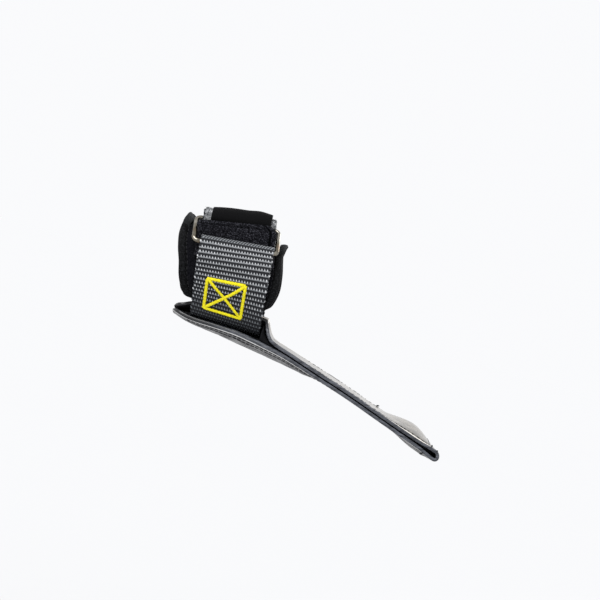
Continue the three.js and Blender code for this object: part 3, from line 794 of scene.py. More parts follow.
# %% Loop tape
TAPE_HALF, TAPE_STEP, TAPE_COLUMNS, PILE_HEIGHT = 23.6, 0.7, 95, 1.05
PILE_LUMPS, LUMP_LIMIT, EDGE_LUMPS = 0.16, 1.6, 0.35
FIBRES_A_SIDE, FIBRE_RADIUS, FIBRE_SIDES = 360, 0.085, 3
loop_finish, tree, shader = finish("brushed loop", Roughness=1.0, Specular_IOR_Level=0.1)
shades = [(0.38, (0.03, 0.03, 0.034)), (0.5, (0.17, 0.175, 0.18)), (0.65, (0.5, 0.51, 0.52))]
colour_into(tree, shader, noise(tree, 420, 5, 0.75), *shades)
bump(tree, shader, noise(tree, 1500, 4, 0.7), 0.0005)
seeded = np.random.default_rng(11)
tape_along = np.arange(fold_start - 1, strap_knots[-1] - 3, TAPE_STEP)
tape_across = np.linspace(-TAPE_HALF, TAPE_HALF, TAPE_COLUMNS)
points, normals, flat = strap_grid(tape_across, tape_along)
lumps = seeded.normal(size=flat.shape[:2])
lumps = (lumps + np.roll(lumps, 1, 0) + np.roll(lumps, 1, 1) + np.roll(lumps, (1, 1), (0, 1))) / 2
face = STRAP_THICKNESS / 2 + 0.15
pile = face + PILE_HEIGHT + PILE_LUMPS * np.clip(lumps, -LUMP_LIMIT, LUMP_LIMIT)[..., None]
points[..., 0] += EDGE_LUMPS * lumps * smooth_step(np.abs(tape_across), TAPE_HALF - 1.0, TAPE_HALF)
tape = ribbon("loop_pile", points - normals * pile, points - normals * face, [loop_finish], flat)
settle(tape, "loop_tape")

fibres = []
for side in (0, -1):
    for r in seeded.integers(1, len(tape_along) - 1, FIBRES_A_SIDE):
        root = points[r, side] - normals[r, side] * seeded.uniform(0.9, 2.1)
        out = np.array([1.0 if side else -1.0, 0, 0]) * seeded.uniform(0.2, 1.0) + seeded.normal(0, 0.45, 3)
        out -= normals[r, side] * seeded.uniform(0.0, 0.9)
        curl = seeded.normal(0, 0.5, 3)
        part = np.linspace(0, 1, 5)[:, None] * seeded.uniform(0.4, 1.05)
        fibres.append(root + out * part + curl * part**2)
threads("loop_fibres", np.array(fibres), FIBRE_RADIUS, loop_finish, FIBRE_SIDES)
print("loop tape:", len(tape.data.polygons), "faces,", len(fibres), "fibres")

# %% [markdown]
# A bare satin tab is folded over the strap's end. It is a light cloth, so it doesn't hug the fold: it stands
# off it along the crest, most of all towards its right corner.

# %% Satin tab
TAB_FROM, TAB_TO, TAB_STEP, TAB_COLUMNS = -19.0, 21.0, 0.5, 61
TAB_OFF, TAB_THICKNESS = 1.55, 0.4
STAND, STAND_CORNER, STAND_BOW, STAND_RAISED = 0.3, 1.5, 1.7, 0.8


def bell(x, centre, wide, power=2):
    return np.exp(-(((x - centre) / wide) ** power))


satin, tree, shader = finish("black satin", Roughness=0.6, Specular_IOR_Level=0.05)
thread = wave(tree, 1.6, 0.4, "Y")
colour_into(tree, shader, thread, (0.2, (0.0012, 0.0012, 0.0015)), (0.9, (0.005, 0.005, 0.0055)))
bump(tree, shader, thread, 0.00006)
tab_along = np.arange(fold_start - 3, fold_end + 9, TAB_STEP)
tab_across = np.linspace(TAB_FROM, TAB_TO, TAB_COLUMNS)
points, normals, flat = strap_grid(tab_across, tab_along)
midway = TAB_COLUMNS // 2
crest = tab_along[np.argmax(points[:, midway, 2])]
standing = bell(tab_along, crest, 5.0)[:, None]
corner = smooth_step(tab_across, 4, TAB_TO)
bowed = 1 - ((tab_across - 2) / 20) ** 2
raised = bell(tab_across, 11, 6)
stood = standing * (STAND + STAND_CORNER * corner + STAND_BOW * bowed + STAND_RAISED * raised)
off = (STRAP_THICKNESS / 2 + TAB_OFF + stood)[..., None]
tab = ribbon("satin_tab", points - normals * (off + TAB_THICKNESS), points - normals * off, [satin], flat)
settle(tab, "label")

# %% [markdown]
# The palm pad is one strip of coated leather, folded at its free end. Its smooth coated side is out, its dark
# flesh side is in, and the cut edges are dyed slate grey. The band helper makes it too: the strip's line
# goes out along the lower ply, round the fold and back along the upper ply. Near the fold the two plies stand
# apart, like a lens, where the pad has been wrapped round a bar.

# %% The pad's sizes
PAD_SLOPE, PAD_ROLL = math.tan(math.radians(17.1)), math.tan(math.radians(0.2))
PAD_RISE = math.sqrt(1 + PAD_SLOPE**2)
ROLL_FROM, STRAIGHT_FROM, FLAT_FROM, TIP_X, TIP_HALF = 32.0, 60.0, 82.0, 162.6, 36
STRAIGHT_Z, BULGE_FROM, BULGE_TO, BULGE_SKEW = -40.6, 106.0, 164.5, 2.05
UPPER_BULGE, LOWER_BULGE, DROOP, DROOP_FROM, DROOP_TO = 6.9, 2.4, 0.045, 130, 160
HUMP, HUMP_AT, HUMP_WIDE, OPENS_UP, OPENS_DOWN = 0.6, 97, 22, 0.4, 0.6
LEATHER_HALF = LEATHER / 2

# Each row: x along the cuff, and half the pad's width there.
PAD_WIDTH = np.array([
    (-33, 17), (-31.5, 21), (-28.5, 24), (-22, 26), (24, 31), (60, 34.5), (100, 36), (163, TIP_HALF),
])
# Each row: x, and the space between the plies.
PLY_GAP = np.array([(60, 0.7), (140, 0.8), (152, 1.2), (158, 2.4), (163, 3.0)])
# Each row: x, height of the ply's middle, how far its edges curl up, and its thickness.
LOWER_PLY = np.array([
    (-33, -30.9, 2.6, 2.6),
    (-22, -33.6, 2.9, 3.0),
    (0, -36.2, 5.1, 3.1),
    (15, -38.3, 6.6, 3.1),
    (30, -39.9, 6.0, 3.1),
    (45, -42.0, 5.4, 2.8),
    (60, -44.7, 4.1, 2.3),
])
# Each row: x, height, curl, how closely it hugs the oval, and how many degrees up each side it reaches.
UPPER_PLY = np.array([
    (-33, -27.9, 2.6, 0, 38),
    (-28, -27.8, 2.6, 0.45, 39),
    (-22, -27.75, 2.2, 1, 41),
    (29, -27.75, 2.2, 1, 51),
    (31.5, -29.4, 2.4, 0.5, 50),
    (34, -31.4, 2.6, 0.16, 50),
    (37, -33.0, 2.5, 0.02, 50),
    (43, -34.6, 2.1, 0, 50),
    (48, -35.6, 1.7, 0, 50),
    (54, -36.9, 1.3, 0, 51),
    (60, -38.26, 0.8, 0, 51),
])
# The columns of these two tables; the last two are the upper ply's.
HEIGHT, CURL, THICK, HUG, REACH = 1, 2, 3, 3, 4
print("pad:", round(TIP_X - PAD_WIDTH[0, 0]), "mm long,", 2 * TIP_HALF, "mm wide at its free end")

# %% [markdown]
# A ply's middle sheet follows its table near the cuff and a sloping plane beyond it, where the lens is
# added. Inside the cuff the upper ply is blended into a sheet laid round the oval, because it is held there.


# %% The plies
def ply(is_upper, x, share):
    """The middle of a ply through its thickness; share is -1 at the front edge and 1 at the far one."""
    x, share = np.broadcast_arrays(np.asarray(x, float), np.asarray(share, float))
    table = UPPER_PLY if is_upper else LOWER_PLY
    half = eased(PAD_WIDTH, x)
    opened = eased(PLY_GAP, x) - PLY_GAP[0, 1]
    off_line = LEATHER + PLY_GAP[0, 1] + OPENS_UP * opened if is_upper else -OPENS_DOWN * opened
    straight = STRAIGHT_Z - PAD_SLOPE * (x - STRAIGHT_FROM) + off_line * PAD_RISE
    straight = straight + HUMP * bell(x, HUMP_AT, HUMP_WIDE)
    lens = np.clip((x - BULGE_FROM) / (BULGE_TO - BULGE_FROM), 0, 1)
    lens = np.sin(np.pi * lens**BULGE_SKEW) ** 1.5 * (1 - share**2)
    straight = straight + lens * (UPPER_BULGE if is_upper else -LOWER_BULGE)
    curl = eased(table, x, CURL) * (1 - smooth_step(x, STRAIGHT_FROM, FLAT_FROM))
    middle = np.where(x > STRAIGHT_FROM, straight - curl, eased(table, x, HEIGHT))
    tilt = PAD_ROLL * smooth_step(x, ROLL_FROM, FLAT_FROM) - DROOP * smooth_step(x, DROOP_FROM, DROOP_TO)
    roll = tilt * (share * half + TIP_HALF)
    flat = np.stack([x, share * half, middle + curl * share**2 + roll], -1)
    if not is_upper:
        return flat
    hug = np.where(x > STRAIGHT_FROM, 0, eased(table, x, HUG))[..., None]
    round_oval = on_oval(-90 - share * eased(table, x, REACH), np.full(x.shape, GAP + LEATHER_HALF))
    return flat * (1 - hug) + np.concatenate([x[..., None], round_oval], -1) * hug


print("free end at height", ply(False, TIP_X, 0)[2].round(1), "mm")

# %% [markdown]
# The strip's middle sheet is a grid from the lower ply's cuff end, round the fold, to the upper ply's cuff
# end. Its columns crowd towards the two edges, where the sewn rows and the rounded cuts need them.

# %% The pad's strip
PAD_COLUMNS, FOLD_ROWS = 81, 18
pad_x = np.concatenate([np.linspace(-33, -22, 16), np.linspace(-21, 62, 90), np.linspace(63, TIP_X, 90)])
spread = np.linspace(-1, 1, PAD_COLUMNS)
share = np.sign(spread) * (1 - (1 - np.abs(spread)) ** 1.6)
lower = ply(False, pad_x[:, None], share)
upper = ply(True, pad_x[:, None], share)
centre, reach = (lower[-1] + upper[-1]) / 2, (upper[-1] - lower[-1]) / 2
outward = np.array([1, 0, -PAD_SLOPE]) / PAD_RISE * np.linalg.norm(reach, axis=1)[:, None]
bend = np.radians(np.linspace(-90, 90, FOLD_ROWS)[1:-1])
fold = np.stack([centre + reach * math.sin(b) + outward * math.cos(b) for b in bend])
sheet = np.concatenate([lower, fold, upper[::-1]])
normal = unit(np.cross(np.gradient(sheet, axis=1), np.gradient(sheet, axis=0)))
length = run_along(sheet[:, PAD_COLUMNS // 2])
one_way = eased(PAD_WIDTH, pad_x)
half_width = np.concatenate([one_way, [TIP_HALF] * len(bend), one_way[::-1]])
from_edge = (1 - np.abs(share)) * half_width[:, None]
run = np.repeat(length[:, None], len(share), 1)
pad_flat = np.stack([from_edge, run], -1)
print("strip:", round(length[-1]), "mm of leather")

# %% [markdown]
# The leather isn't quite even. It ripples a little away from its edges, and sewn rows sink into it near each
# edge, two below and one above, because a thread under tension pulls leather down. These are moved in the
# mesh, so that they catch the light as dents do.

# %% Ripples and sewn dents
UNDER_ROWS, UPPER_ROW, SEWN_FROM, SEWN_TO, UPPER_SEWN_FROM = (3.2, 7.5), 3.0, -24.0, 86.0, 58
UNDER_DENT, UPPER_DENT, CREASE = 0.5, 0.4, 0.22
aside = share * half_width[:, None]
ripple = 0.16 * np.sin(run / 9 + aside / 17) + 0.12 * np.sin(aside / 6.5 - run / 23)
ripple *= smooth_step(run, 0, 30) * smooth_step(from_edge, 8, 15)
ripple *= 1 - smooth_step(np.abs(run - length[len(pad_x)]), 26, 12)
sewn_x = np.concatenate([pad_x, [TIP_X] * len(bend), pad_x[::-1]])[:, None]
is_under = (np.arange(len(sheet)) < len(pad_x))[:, None]
sewn_under = is_under & (sewn_x > SEWN_FROM) & (sewn_x < SEWN_TO)
sewn_over = ~is_under & (sewn_x > UPPER_SEWN_FROM)
dent = sewn_over * UPPER_DENT * bell(from_edge, UPPER_ROW, 0.8)
for row in UNDER_ROWS:
    dent += sewn_under * UNDER_DENT * bell(from_edge, row, 0.9)
creased = np.sin(run / 2.1 + 3 * np.sin(aside / 5)) * np.sin(run / 13 + aside / 9)
dent += is_under * CREASE * np.clip(creased, 0, 1) * smooth_step(from_edge, 9, 14) * (sewn_x < SEWN_TO)
thickness = np.full(len(sheet), LEATHER)
thickness[: len(pad_x)] = eased(LOWER_PLY, pad_x, THICK)
half = thickness[:, None, None] / 2
outer = sheet + normal * (half + (ripple - dent)[..., None])
inner = sheet - normal * (half - ripple[..., None])
print("sewn rows:", UNDER_ROWS, "mm in below,", UPPER_ROW, "mm in above")

# %% [markdown]
# The upper side of the leather is a pale glossy coating, with a painted highlight along its pressed edge,
# strongest near the fold, where a band of painted shade lies just inside it, at the foot of the bulge. The
# lower side is the same coating rubbed dull, streaked along its length, with a painted highlight along its
# edge. Both take the distance from the strip's edge out of the flat map.

# %% Coated and rubbed leather
coated, tree, shader = finish("coated leather", Roughness=0.36, Coat_Weight=0.6, Coat_Roughness=0.14)
in_from_edge = axis(tree, flat_of(tree), "X")
# Painted highlight along the pressed edge, doubled near the fold, and painted shade a few millimetres inside
# it there.
painted_edge_highlight = remap(tree, in_from_edge, 1.2, 2.6, 0.46, 0.0)
near_fold = remap(tree, axis(tree, place_of(tree), "X"), 0.112, 0.132, 0.0, 1.0)
painted_bulge_shade = remap(tree, in_from_edge, 3.0, 11.0, -0.3, 0.0)
painted_edge_highlight = maths(tree, "MULTIPLY_ADD", painted_edge_highlight, near_fold, painted_edge_highlight)
painted_light_and_ribs = maths(tree, "MULTIPLY_ADD", painted_bulge_shade, near_fold, painted_edge_highlight)
cloud = maths(tree, "ADD", noise(tree, 170, 6, 0.6), painted_light_and_ribs)
shades = [(0.34, (0.085, 0.077, 0.065)), (0.5, (0.15, 0.134, 0.111)), (0.68, (0.245, 0.217, 0.177))]
colour_into(tree, shader, cloud, *shades, (1.0, (0.7, 0.66, 0.6)))
pore_inputs = {"Vector": place_of(tree), "Scale": 1100.0, "Randomness": 0.9}
pores = add(tree, "ShaderNodeTexVoronoi", pore_inputs).outputs["Distance"]
bump(tree, shader, maths(tree, "MULTIPLY_ADD", noise(tree, 350, 6, 0.65), 1.6, pores), 0.0001, 0.5)

rubbed, tree, shader = finish("rubbed leather", Roughness=0.6, Specular_IOR_Level=0.2)
# Painted highlight along the rubbed side's edge.
painted_edge_highlight = remap(tree, axis(tree, flat_of(tree), "X"), 0.9, 1.9, 0.5, 0.0)
streak = noise(tree, 1.0, 5, 0.7, stretch=(70, 330, 330))
shades = [(0.36, (0.014, 0.014, 0.016)), (0.46, (0.1, 0.1, 0.105)), (0.6, (0.26, 0.26, 0.26))]
colour_into(tree, shader, maths(tree, "ADD", streak, painted_edge_highlight), *shades, (0.95, (0.7, 0.7, 0.69)))
bump(tree, shader, streak, 0.0005, 0.6)
print("coated and rubbed leather ready")

# %% [markdown]
# The flesh side is a dark nap. The cut edge is dyed slate, with fibres drawn along the edge, and it goes
# black higher up and towards the cuff end.

# %% Flesh side and cut edge
flesh, tree, shader = finish("flesh side", Roughness=0.95, Specular_IOR_Level=0.05)
nap = noise(tree, 1500, 3, 0.7)
colour_into(tree, shader, nap, (0.3, (0.004, 0.004, 0.005)), (0.8, (0.014, 0.014, 0.016)))
bump(tree, shader, nap, 0.0002)

cut, tree, shader = finish("dyed cut edge", Roughness=0.34, Specular_IOR_Level=0.5)
fibre = noise(tree, 1.0, 4, stretch=(180, 900, 900))
along_cuff, height = [axis(tree, place_of(tree), name) for name in "XZ"]
upper_cuff = maths(tree, "MULTIPLY_ADD", along_cuff, -0.3, height)
# Darker higher up and towards the cuff end.
edge_tone = maths(tree, "MULTIPLY", fibre, remap(tree, upper_cuff, -0.033, -0.026, 1.0, 0.1))
shades = [(0.05, (0.004, 0.0045, 0.006)), (0.38, (0.014, 0.016, 0.022)), (0.7, (0.104, 0.111, 0.13))]
colour_into(tree, shader, edge_tone, *shades)
bump(tree, shader, fibre, 0.00015, 0.6)
print("flesh side and cut edge ready")

# %% [markdown]
# One closed band makes the pad. Its outside is coated, its inside is flesh and its rims are cut edges; then
# the faces of the lower ply's outside are given the rubbed finish.

# %% The pad
RUBBED_INDEX = 3
finishes = [coated, flesh, cut, rubbed]
pad = ribbon("leather_pad", outer, inner, finishes, pad_flat, (0, 1, 2), roundness=0.55, edge_steps=5)
around = len(pad.data.vertices) // len(sheet)
for face in pad.data.polygons:
    if face.material_index == 0 and face.index // around < len(pad_x):
        face.material_index = RUBBED_INDEX
settle(pad, "palm_pad")
print("pad:", len(pad.data.polygons), "faces")

# %% [markdown]
# Between the plies lies a thin dark sheet, painted shade for the shadowed gap, thicker where the plies stand
# apart. It starts in front of the strap and stops short of the edges, so it is only seen as a dark line
# between the two cut edges.

# %% Painted shade between the plies
GAP_SHADE_FROM, GAP_SHADE_TO, GAP_SHADE_HALF, GAP_SHADE_SHARE, GAP_SHADE_CLEARANCE = 28.6, 161, 34, 0.94, 0.3
GAP_SHADE_ROWS, GAP_SHADE_COLUMNS, GAP_SHADE_NARROWED, GAP_SHADE_LEAST = 134, 41, 0.12, 0.1
gap_shade_x = np.linspace(GAP_SHADE_FROM, GAP_SHADE_TO, GAP_SHADE_ROWS)[:, None]
gap_shade_share = np.linspace(-GAP_SHADE_SHARE, GAP_SHADE_SHARE, GAP_SHADE_COLUMNS)
gap_shade_share = gap_shade_share * (1 - GAP_SHADE_NARROWED * smooth_step(gap_shade_x, 138, 152))
under = ply(False, gap_shade_x, gap_shade_share)
over = ply(True, gap_shade_x, gap_shade_share)


def upright_share(grid):
    """How nearly each part of a sheet faces straight up, from 0.3 to 1."""
    facing = unit(np.cross(np.gradient(grid, axis=0), np.gradient(grid, axis=1)))
    return np.clip(np.abs(facing[..., 2]), 0.3, 1)


under[..., 2] += (eased(LOWER_PLY, gap_shade_x, THICK) / 2 + GAP_SHADE_CLEARANCE) / upright_share(under)
over[..., 2] -= (LEATHER_HALF + GAP_SHADE_CLEARANCE) / upright_share(over)
over[..., 2] = np.maximum(over[..., 2], under[..., 2] + GAP_SHADE_LEAST)
gap_shade_flat = np.stack(np.broadcast_arrays(gap_shade_share * GAP_SHADE_HALF, gap_shade_x), -1)
# A dark sheet of painted shade, filling the gap between the plies.
gap_shade = ribbon("pad_gap_shade", over, under, [flesh], gap_shade_flat)
settle(gap_shade, None)
print("core:", len(gap_shade.data.polygons), "faces")

# %% [markdown]
# The sewn rows are real threads: short dark stitches that lie in the dents, with a small space where each one
# goes down. A few cut thread ends stand out, at the corner where the row round the free end is finished and
# on the far row.

# %% Stitches on the pad
STITCH_PITCH, STITCH_LENGTH, STITCH_RADIUS, END_ROW_X = 3.3, 2.6, 0.38, 157.5
TOP_ROW, END_ROW, LONG_STITCH = (62.0, 156.0), (2.0, 68.0), (80.6, 90.1)
STITCH_SUNK, END_RADIUS, END_SIDES = 0.12, 0.6, 8


def stitch(is_upper, x, in_mm, side):
    """Points on the pad's outer face, a distance in from one of its edges."""
    share = side * (1 - in_mm / eased(PAD_WIDTH, x))
    spot = ply(is_upper, x, share)
    facing = unit(np.cross(ply(is_upper, x + 0.1, share) - spot, ply(is_upper, x, share + 0.003) - spot))
    facing *= 1 if is_upper else -1
    thick = LEATHER if is_upper else eased(LOWER_PLY, x, THICK)
    return spot + facing * np.reshape(thick / 2 - STITCH_SUNK, (-1, 1))


sewn_lines = []
part = np.linspace(0, 1, 5)
for side in (-1, 1):
    for row in UNDER_ROWS:
        for x in np.arange(SEWN_FROM + 2, SEWN_TO - 2, STITCH_PITCH):
            sewn_lines.append(stitch(False, x + STITCH_LENGTH * part, np.full(5, row), side))
    for x in np.arange(*TOP_ROW, STITCH_PITCH):
        in_mm = UPPER_ROW + 0.45 * math.sin(x * 1.7)
        sewn_lines.append(stitch(True, x + (1.7 + 1.2 * math.sin(x * 2.3)) * part, np.full(5, in_mm), side))
for is_upper in (True, False):
    for in_mm in np.arange(*END_ROW, STITCH_PITCH):
        sewn_lines.append(stitch(is_upper, np.full(5, END_ROW_X), in_mm + STITCH_LENGTH * part, -1))
sewn_lines.append(stitch(True, np.linspace(*LONG_STITCH, 5), np.full(5, UPPER_ROW - 0.6), 1))
sewing, tree, shader = finish("black thread", Roughness=0.6, Specular_IOR_Level=0.2)
twist = noise(tree, 1800, 3)
colour_into(tree, shader, twist, (0.3, (0.004, 0.004, 0.005)), (0.75, (0.03, 0.03, 0.034)))
bump(tree, shader, twist, 0.0001)
threads("pad_stitching", np.array(sewn_lines), STITCH_RADIUS, sewing)
ends = np.array([
    [(158.4, -35.2, -68.0), (159.3, -35.6, -66.6), (159.6, -35.9, -65.6), (159.4, -36.0, -64.6)],
    [(161.6, -35.2, -69.4), (162.9, -35.7, -68.3), (163.6, -36.0, -67.6), (164.3, -36.1, -67.2)],
    [(155.2, -35.2, -70.8), (154.4, -35.7, -72.0), (153.7, -36.0, -72.6), (152.9, -36.1, -72.3)],
    [(120.6, 33.0, -55.4), (121.2, 33.1, -54.4), (122.0, 33.2, -53.7), (123.0, 33.2, -53.8)],
])
threads("thread_ends", ends, END_RADIUS, sewing, END_SIDES)
print("pad stitching:", len(sewn_lines), "stitches,", len(ends), "thread ends")

# %% [markdown]
# The cushions are neoprene foam with a knitted face, about 5 mm thick. Each is cut to a tongue shape, and its
# edge is rolled and stitched. The flat outline is drawn once, as a smooth curve through a short table, so
# that the foam and its rolled edge share it.

# %% The cushion's outline
ROLL_WIDTH, OUTLINE_POINTS = 5.2, 241
# Each row: angle round the oval, and the cushion's two edges there.
CUSHION_EDGES = np.array([
    (74, -41.0, 26.0),
    (60, -44.2, 27.0),
    (45, -44.0, 28.5),
    (25, -41.5, 30.5),
    (7, -38.0, 31.5),
    (-8, -35.7, 30.5),
    (-19, -33.3, 28.0),
    (-29, -30.5, 20.5),
    (-36, -23.0, 9.0),
])
round_angle = np.arange(-60.0, 91.0)
round_length = run_along(on_oval(round_angle, np.full(len(round_angle), CUSHION_THICKNESS / 2)))
edge_run = np.interp(CUSHION_EDGES[:, 0], round_angle, round_length)
left_edge = np.stack([edge_run, CUSHION_EDGES[:, 1]], 1)
right_edge = np.stack([edge_run, CUSHION_EDGES[:, 2]], 1)


def even_curve(points, count):
    """A smooth open curve through points, at even steps, and the length to each step."""
    padded = np.concatenate([points[:1], points, points[-1:]])
    slope = (padded[2:] - padded[:-2]) / 2
    t = np.linspace(0, 1, 40, endpoint=False)[:, None]
    pieces = [hermite(points[i], points[i + 1], slope[i], slope[i + 1], t) for i in range(len(points) - 1)]
    curve = np.concatenate([*pieces, points[-1:]])
    run = run_along(curve)
    at = np.linspace(0, run[-1], count)
    return at_run(at, run, curve), at


outline, outline_run = even_curve(np.concatenate([left_edge, right_edge[::-1]]), OUTLINE_POINTS)
outline_length = outline_run[-1]
heading = unit(np.gradient(outline, axis=0))
inward = np.stack([heading[:, 1], -heading[:, 0]], 1)
print("cushion's outline:", round(outline_length), "mm")

# %% [markdown]
# The flat pattern is laid round the oval by length, so that it isn't stretched. Its top corners, clear of
# the strap, stand off the oval, because nothing holds them down.

# %% Laying a cushion on the oval
LEFT_LIFT, RIGHT_LIFT = 6.5, 5.5


def off_strap(flat, height):
    """How far points of the flat pattern are from the strap's middle, and their angle round the oval."""
    angle = np.interp(flat[..., 0], round_length, round_angle)
    level = on_oval(angle, np.broadcast_to(height, angle.shape))[..., 1]
    return flat[..., 1] - lean_at(level), angle


def on_cushion(flat, height, side):
    """Points of the flat pattern at a height on the oval, at the front (1) or the far side (-1)."""
    off, angle = off_strap(flat, height)
    corner = smooth_step(np.abs(off), 27, 37) * smooth_step(angle, 46, 72)
    lifted = on_oval(angle, height + np.where(off < 0, LEFT_LIFT, RIGHT_LIFT) * corner)
    return np.stack([flat[..., 1], side * lifted[..., 0], lifted[..., 1]], -1)


print("top corners lift by", LEFT_LIFT, "and", RIGHT_LIFT, "mm")

# %% [markdown]
# The knitted face is black, with paler lint caught in it. The cushions' face is a darker copy of the flap's,
# its lint dimmed as painted shade for the foam beside the strap, and the flap's face has a dark seam near its
# right side. The rolled edging is ribbed along its length.

# %% Foam and edging finishes
FLAP_SEAM_IN = 3.0


def knit_face(name, lint_and_shade, seam_in=None):
    material, tree, shader = finish(name, Roughness=0.95, Specular_IOR_Level=0.05, Sheen_Weight=0.02)
    pile = noise(tree, 1300, 4, 0.75)
    if seam_in:
        from_edge = axis(tree, flat_of(tree), "X")
        off_seam = maths(tree, "ABSOLUTE", maths(tree, "SUBTRACT", from_edge, seam_in))
        pile = maths(tree, "MULTIPLY", pile, remap(tree, off_seam, 0.2, 1.1, 0.7, 1.0))
    speckle = [(0.42, (0.001, 0.001, 0.0016)), (0.52, (0.005, 0.005, 0.0072))]
    colour_into(tree, shader, pile, *speckle, (0.62, (lint_and_shade, lint_and_shade, lint_and_shade * 1.2)))
    bump(tree, shader, pile, 0.0003, 0.8)
    return material


# The cushions' copy is darker: its dim lint is painted shade.
neoprene = knit_face("neoprene", 0.009)
linty_neoprene = knit_face("linty neoprene", 0.06, FLAP_SEAM_IN)
edging, tree, shader = finish("rolled edging", Roughness=0.75, Specular_IOR_Level=0.06, Sheen_Weight=0.02)
painted_light_and_ribs = maths(tree, "MULTIPLY_ADD", wave(tree, 0.42, 1.5, "Y"), 0.12, noise(tree, 1100, 4, 0.75))
shades = [(0.46, (0.001, 0.001, 0.0012)), (0.6, (0.0034, 0.0035, 0.0041)), (0.74, (0.026, 0.027, 0.03))]
colour_into(tree, shader, painted_light_and_ribs, *shades)
bump(tree, shader, painted_light_and_ribs, 0.0003, 0.8)
print("foam finishes ready")

# %% [markdown]
# Each cushion is three pieces on the one outline. The foam fills the inside and dips at the seam, the rolled
# edge is a soft bead along the outline, and a row of black stitches holds the two together.

# %% Foam and rolled edges
FOAM_COLUMNS, SEAM_DIP, TOP_DIP = 61, 1.3, 1.2
ROLL_SIDES, ROLL_RISE, ROLL_SWELL = 20, 0.12, 0.05
SEAM_IN, SEAM_PITCH, SEAM_SHARE, SEAM_SUNK, SEAM_ARCH, SEAM_RADIUS = 0.45, 3.4, 0.76, 1.25, 0.45, 0.32


def make_foam(side, where):
    rows = OUTLINE_POINTS // 2 - 3
    inside = outline + inward * (ROLL_WIDTH - 0.2)
    left, right = inside[:rows], inside[::-1][:rows]
    part = np.linspace(0, 1, FOAM_COLUMNS)[:, None]
    flat = left[:, None] * (1 - part) + right[:, None] * part
    to_seam = np.minimum(part, 1 - part)[:, 0] * np.linalg.norm(right - left, axis=1)[:, None]
    to_top = np.linspace(0, 1, rows)[:, None] * rows * outline_length / OUTLINE_POINTS
    dip = SEAM_DIP * bell(to_seam, 0, 1.7) + TOP_DIP * bell(to_top, 0, 1.2)
    outer = on_cushion(flat, CUSHION_THICKNESS - dip, side)
    inner = on_cushion(flat, 0.25 * dip, side)
    foam = ribbon(f"{where}_foam", outer, inner, [neoprene], flat[..., ::-1], roundness=0.3)
    settle(foam, f"{where}_cushion")
    return foam


def squarer(value, power):
    return np.sign(value) * np.abs(value) ** power


def make_rolled_edge(side, where):
    around = np.linspace(0, 2 * np.pi, ROLL_SIDES, endpoint=False)
    in_from_edge = ROLL_WIDTH / 2 + (ROLL_WIDTH / 2 + 0.1) * squarer(np.cos(around), 0.8)
    rise = CUSHION_THICKNESS / 2 + CUSHION_THICKNESS / 2 * squarer(np.sin(around), 0.75)
    clear = smooth_step(np.abs(off_strap(outline, CUSHION_THICKNESS)[0]), 24, 30)
    swell = 1 + ROLL_SWELL * np.sin(outline_run / 3.1) * np.sin(outline_run / 11.7)
    flat = outline[:, None] + inward[:, None] * in_from_edge[:, None]
    sections = on_cushion(flat, rise * (1 + (ROLL_RISE * clear * swell)[:, None]), side)
    points = (sections if side < 0 else sections[:, ::-1]).reshape(-1, 3)
    uv = np.stack(np.broadcast_arrays(around * ROLL_WIDTH / 2, outline_run[:, None]), -1).reshape(-1, 2)
    faces = tube_faces(OUTLINE_POINTS, ROLL_SIDES)
    bead = mesh_piece(f"{where}_rolled_edge", points, faces, [edging], flat=uv)
    settle(bead, f"{where}_binding")


def make_seam(side, where):
    part = np.linspace(0, 1, 5)
    at = np.arange(2.0, outline_length - 4.0, SEAM_PITCH)[:, None] + SEAM_SHARE * SEAM_PITCH * part
    flat = at_run(at, outline_run, outline + inward * (ROLL_WIDTH + SEAM_IN))
    lines = on_cushion(flat, CUSHION_THICKNESS - SEAM_SUNK + SEAM_ARCH * np.sin(np.pi * part), side)
    threads(f"{where}_seam", lines, SEAM_RADIUS, sewing)


for side, where in ((1, "front"), (-1, "back")):
    foam = make_foam(side, where)
    make_rolled_edge(side, where)
    make_seam(side, where)
    print(where, "cushion:", len(foam.data.polygons), "faces")

# %% [markdown]
# Where the rolled edge ends, at the cushion's top corners, the tape inside it comes out flat and is cut off
# square. Each end is a short strip laid on the roll, starting inside it.

# %% Tape ends
TIP_ROWS, TIP_COLUMNS, TIP_THICKNESS, TIP_CUP, TIP_LEVEL = 24, 13, 1.0, 0.4, 2.4
# Each row: angle round the oval, the strip's two edges there, and its height off it.
LEFT_TIP = np.array([
    (54, -44.0, -39.4, 3.6), (60, -43.8, -39.0, 5.6), (67, -42.8, -38.0, 5.8), (74, -41.7, -36.9, 6.0),
])
RIGHT_TIP = np.array([
    (56, 22.6, 26.6, 3.8), (62, 23.0, 27.2, 5.8), (68, 23.4, 27.6, 6.2), (74, 23.7, 28.2, 6.4),
])
tape_end, tree, shader = finish("edge tape", Roughness=0.8, Specular_IOR_Level=0.1, Sheen_Weight=0.1)
grain = wave(tree, 0.9, 0.6, "DIAGONAL")
colour_into(tree, shader, grain, (0.2, (0.005, 0.0055, 0.006)), (0.9, (0.017, 0.019, 0.02)))
bump(tree, shader, grain, 0.0002, 0.7)


def make_tip(name, table, side):
    angle = np.linspace(table[0, 0], table[-1, 0], TIP_ROWS)
    left, right, height = [eased(table, angle, column)[:, None] for column in (1, 2, 3)]
    part = np.linspace(0, 1, TIP_COLUMNS)
    x = left * (1 - part) + right * part
    around = np.repeat(np.interp(angle, round_angle, round_length)[:, None], TIP_COLUMNS, 1)
    pattern = np.stack([around, x], -1)
    level = TIP_LEVEL * (0.5 - part) * smooth_step(angle, 56, 74)[:, None] * (table[0, 1] > 0)
    cupped = height - TIP_CUP * (2 * part - 1) ** 2 + level
    outer, inner = [on_cushion(pattern, cupped + rise, side) for rise in (TIP_THICKNESS, 0)]
    settle(ribbon(name, outer, inner, [tape_end], pattern[..., ::-1]), None)


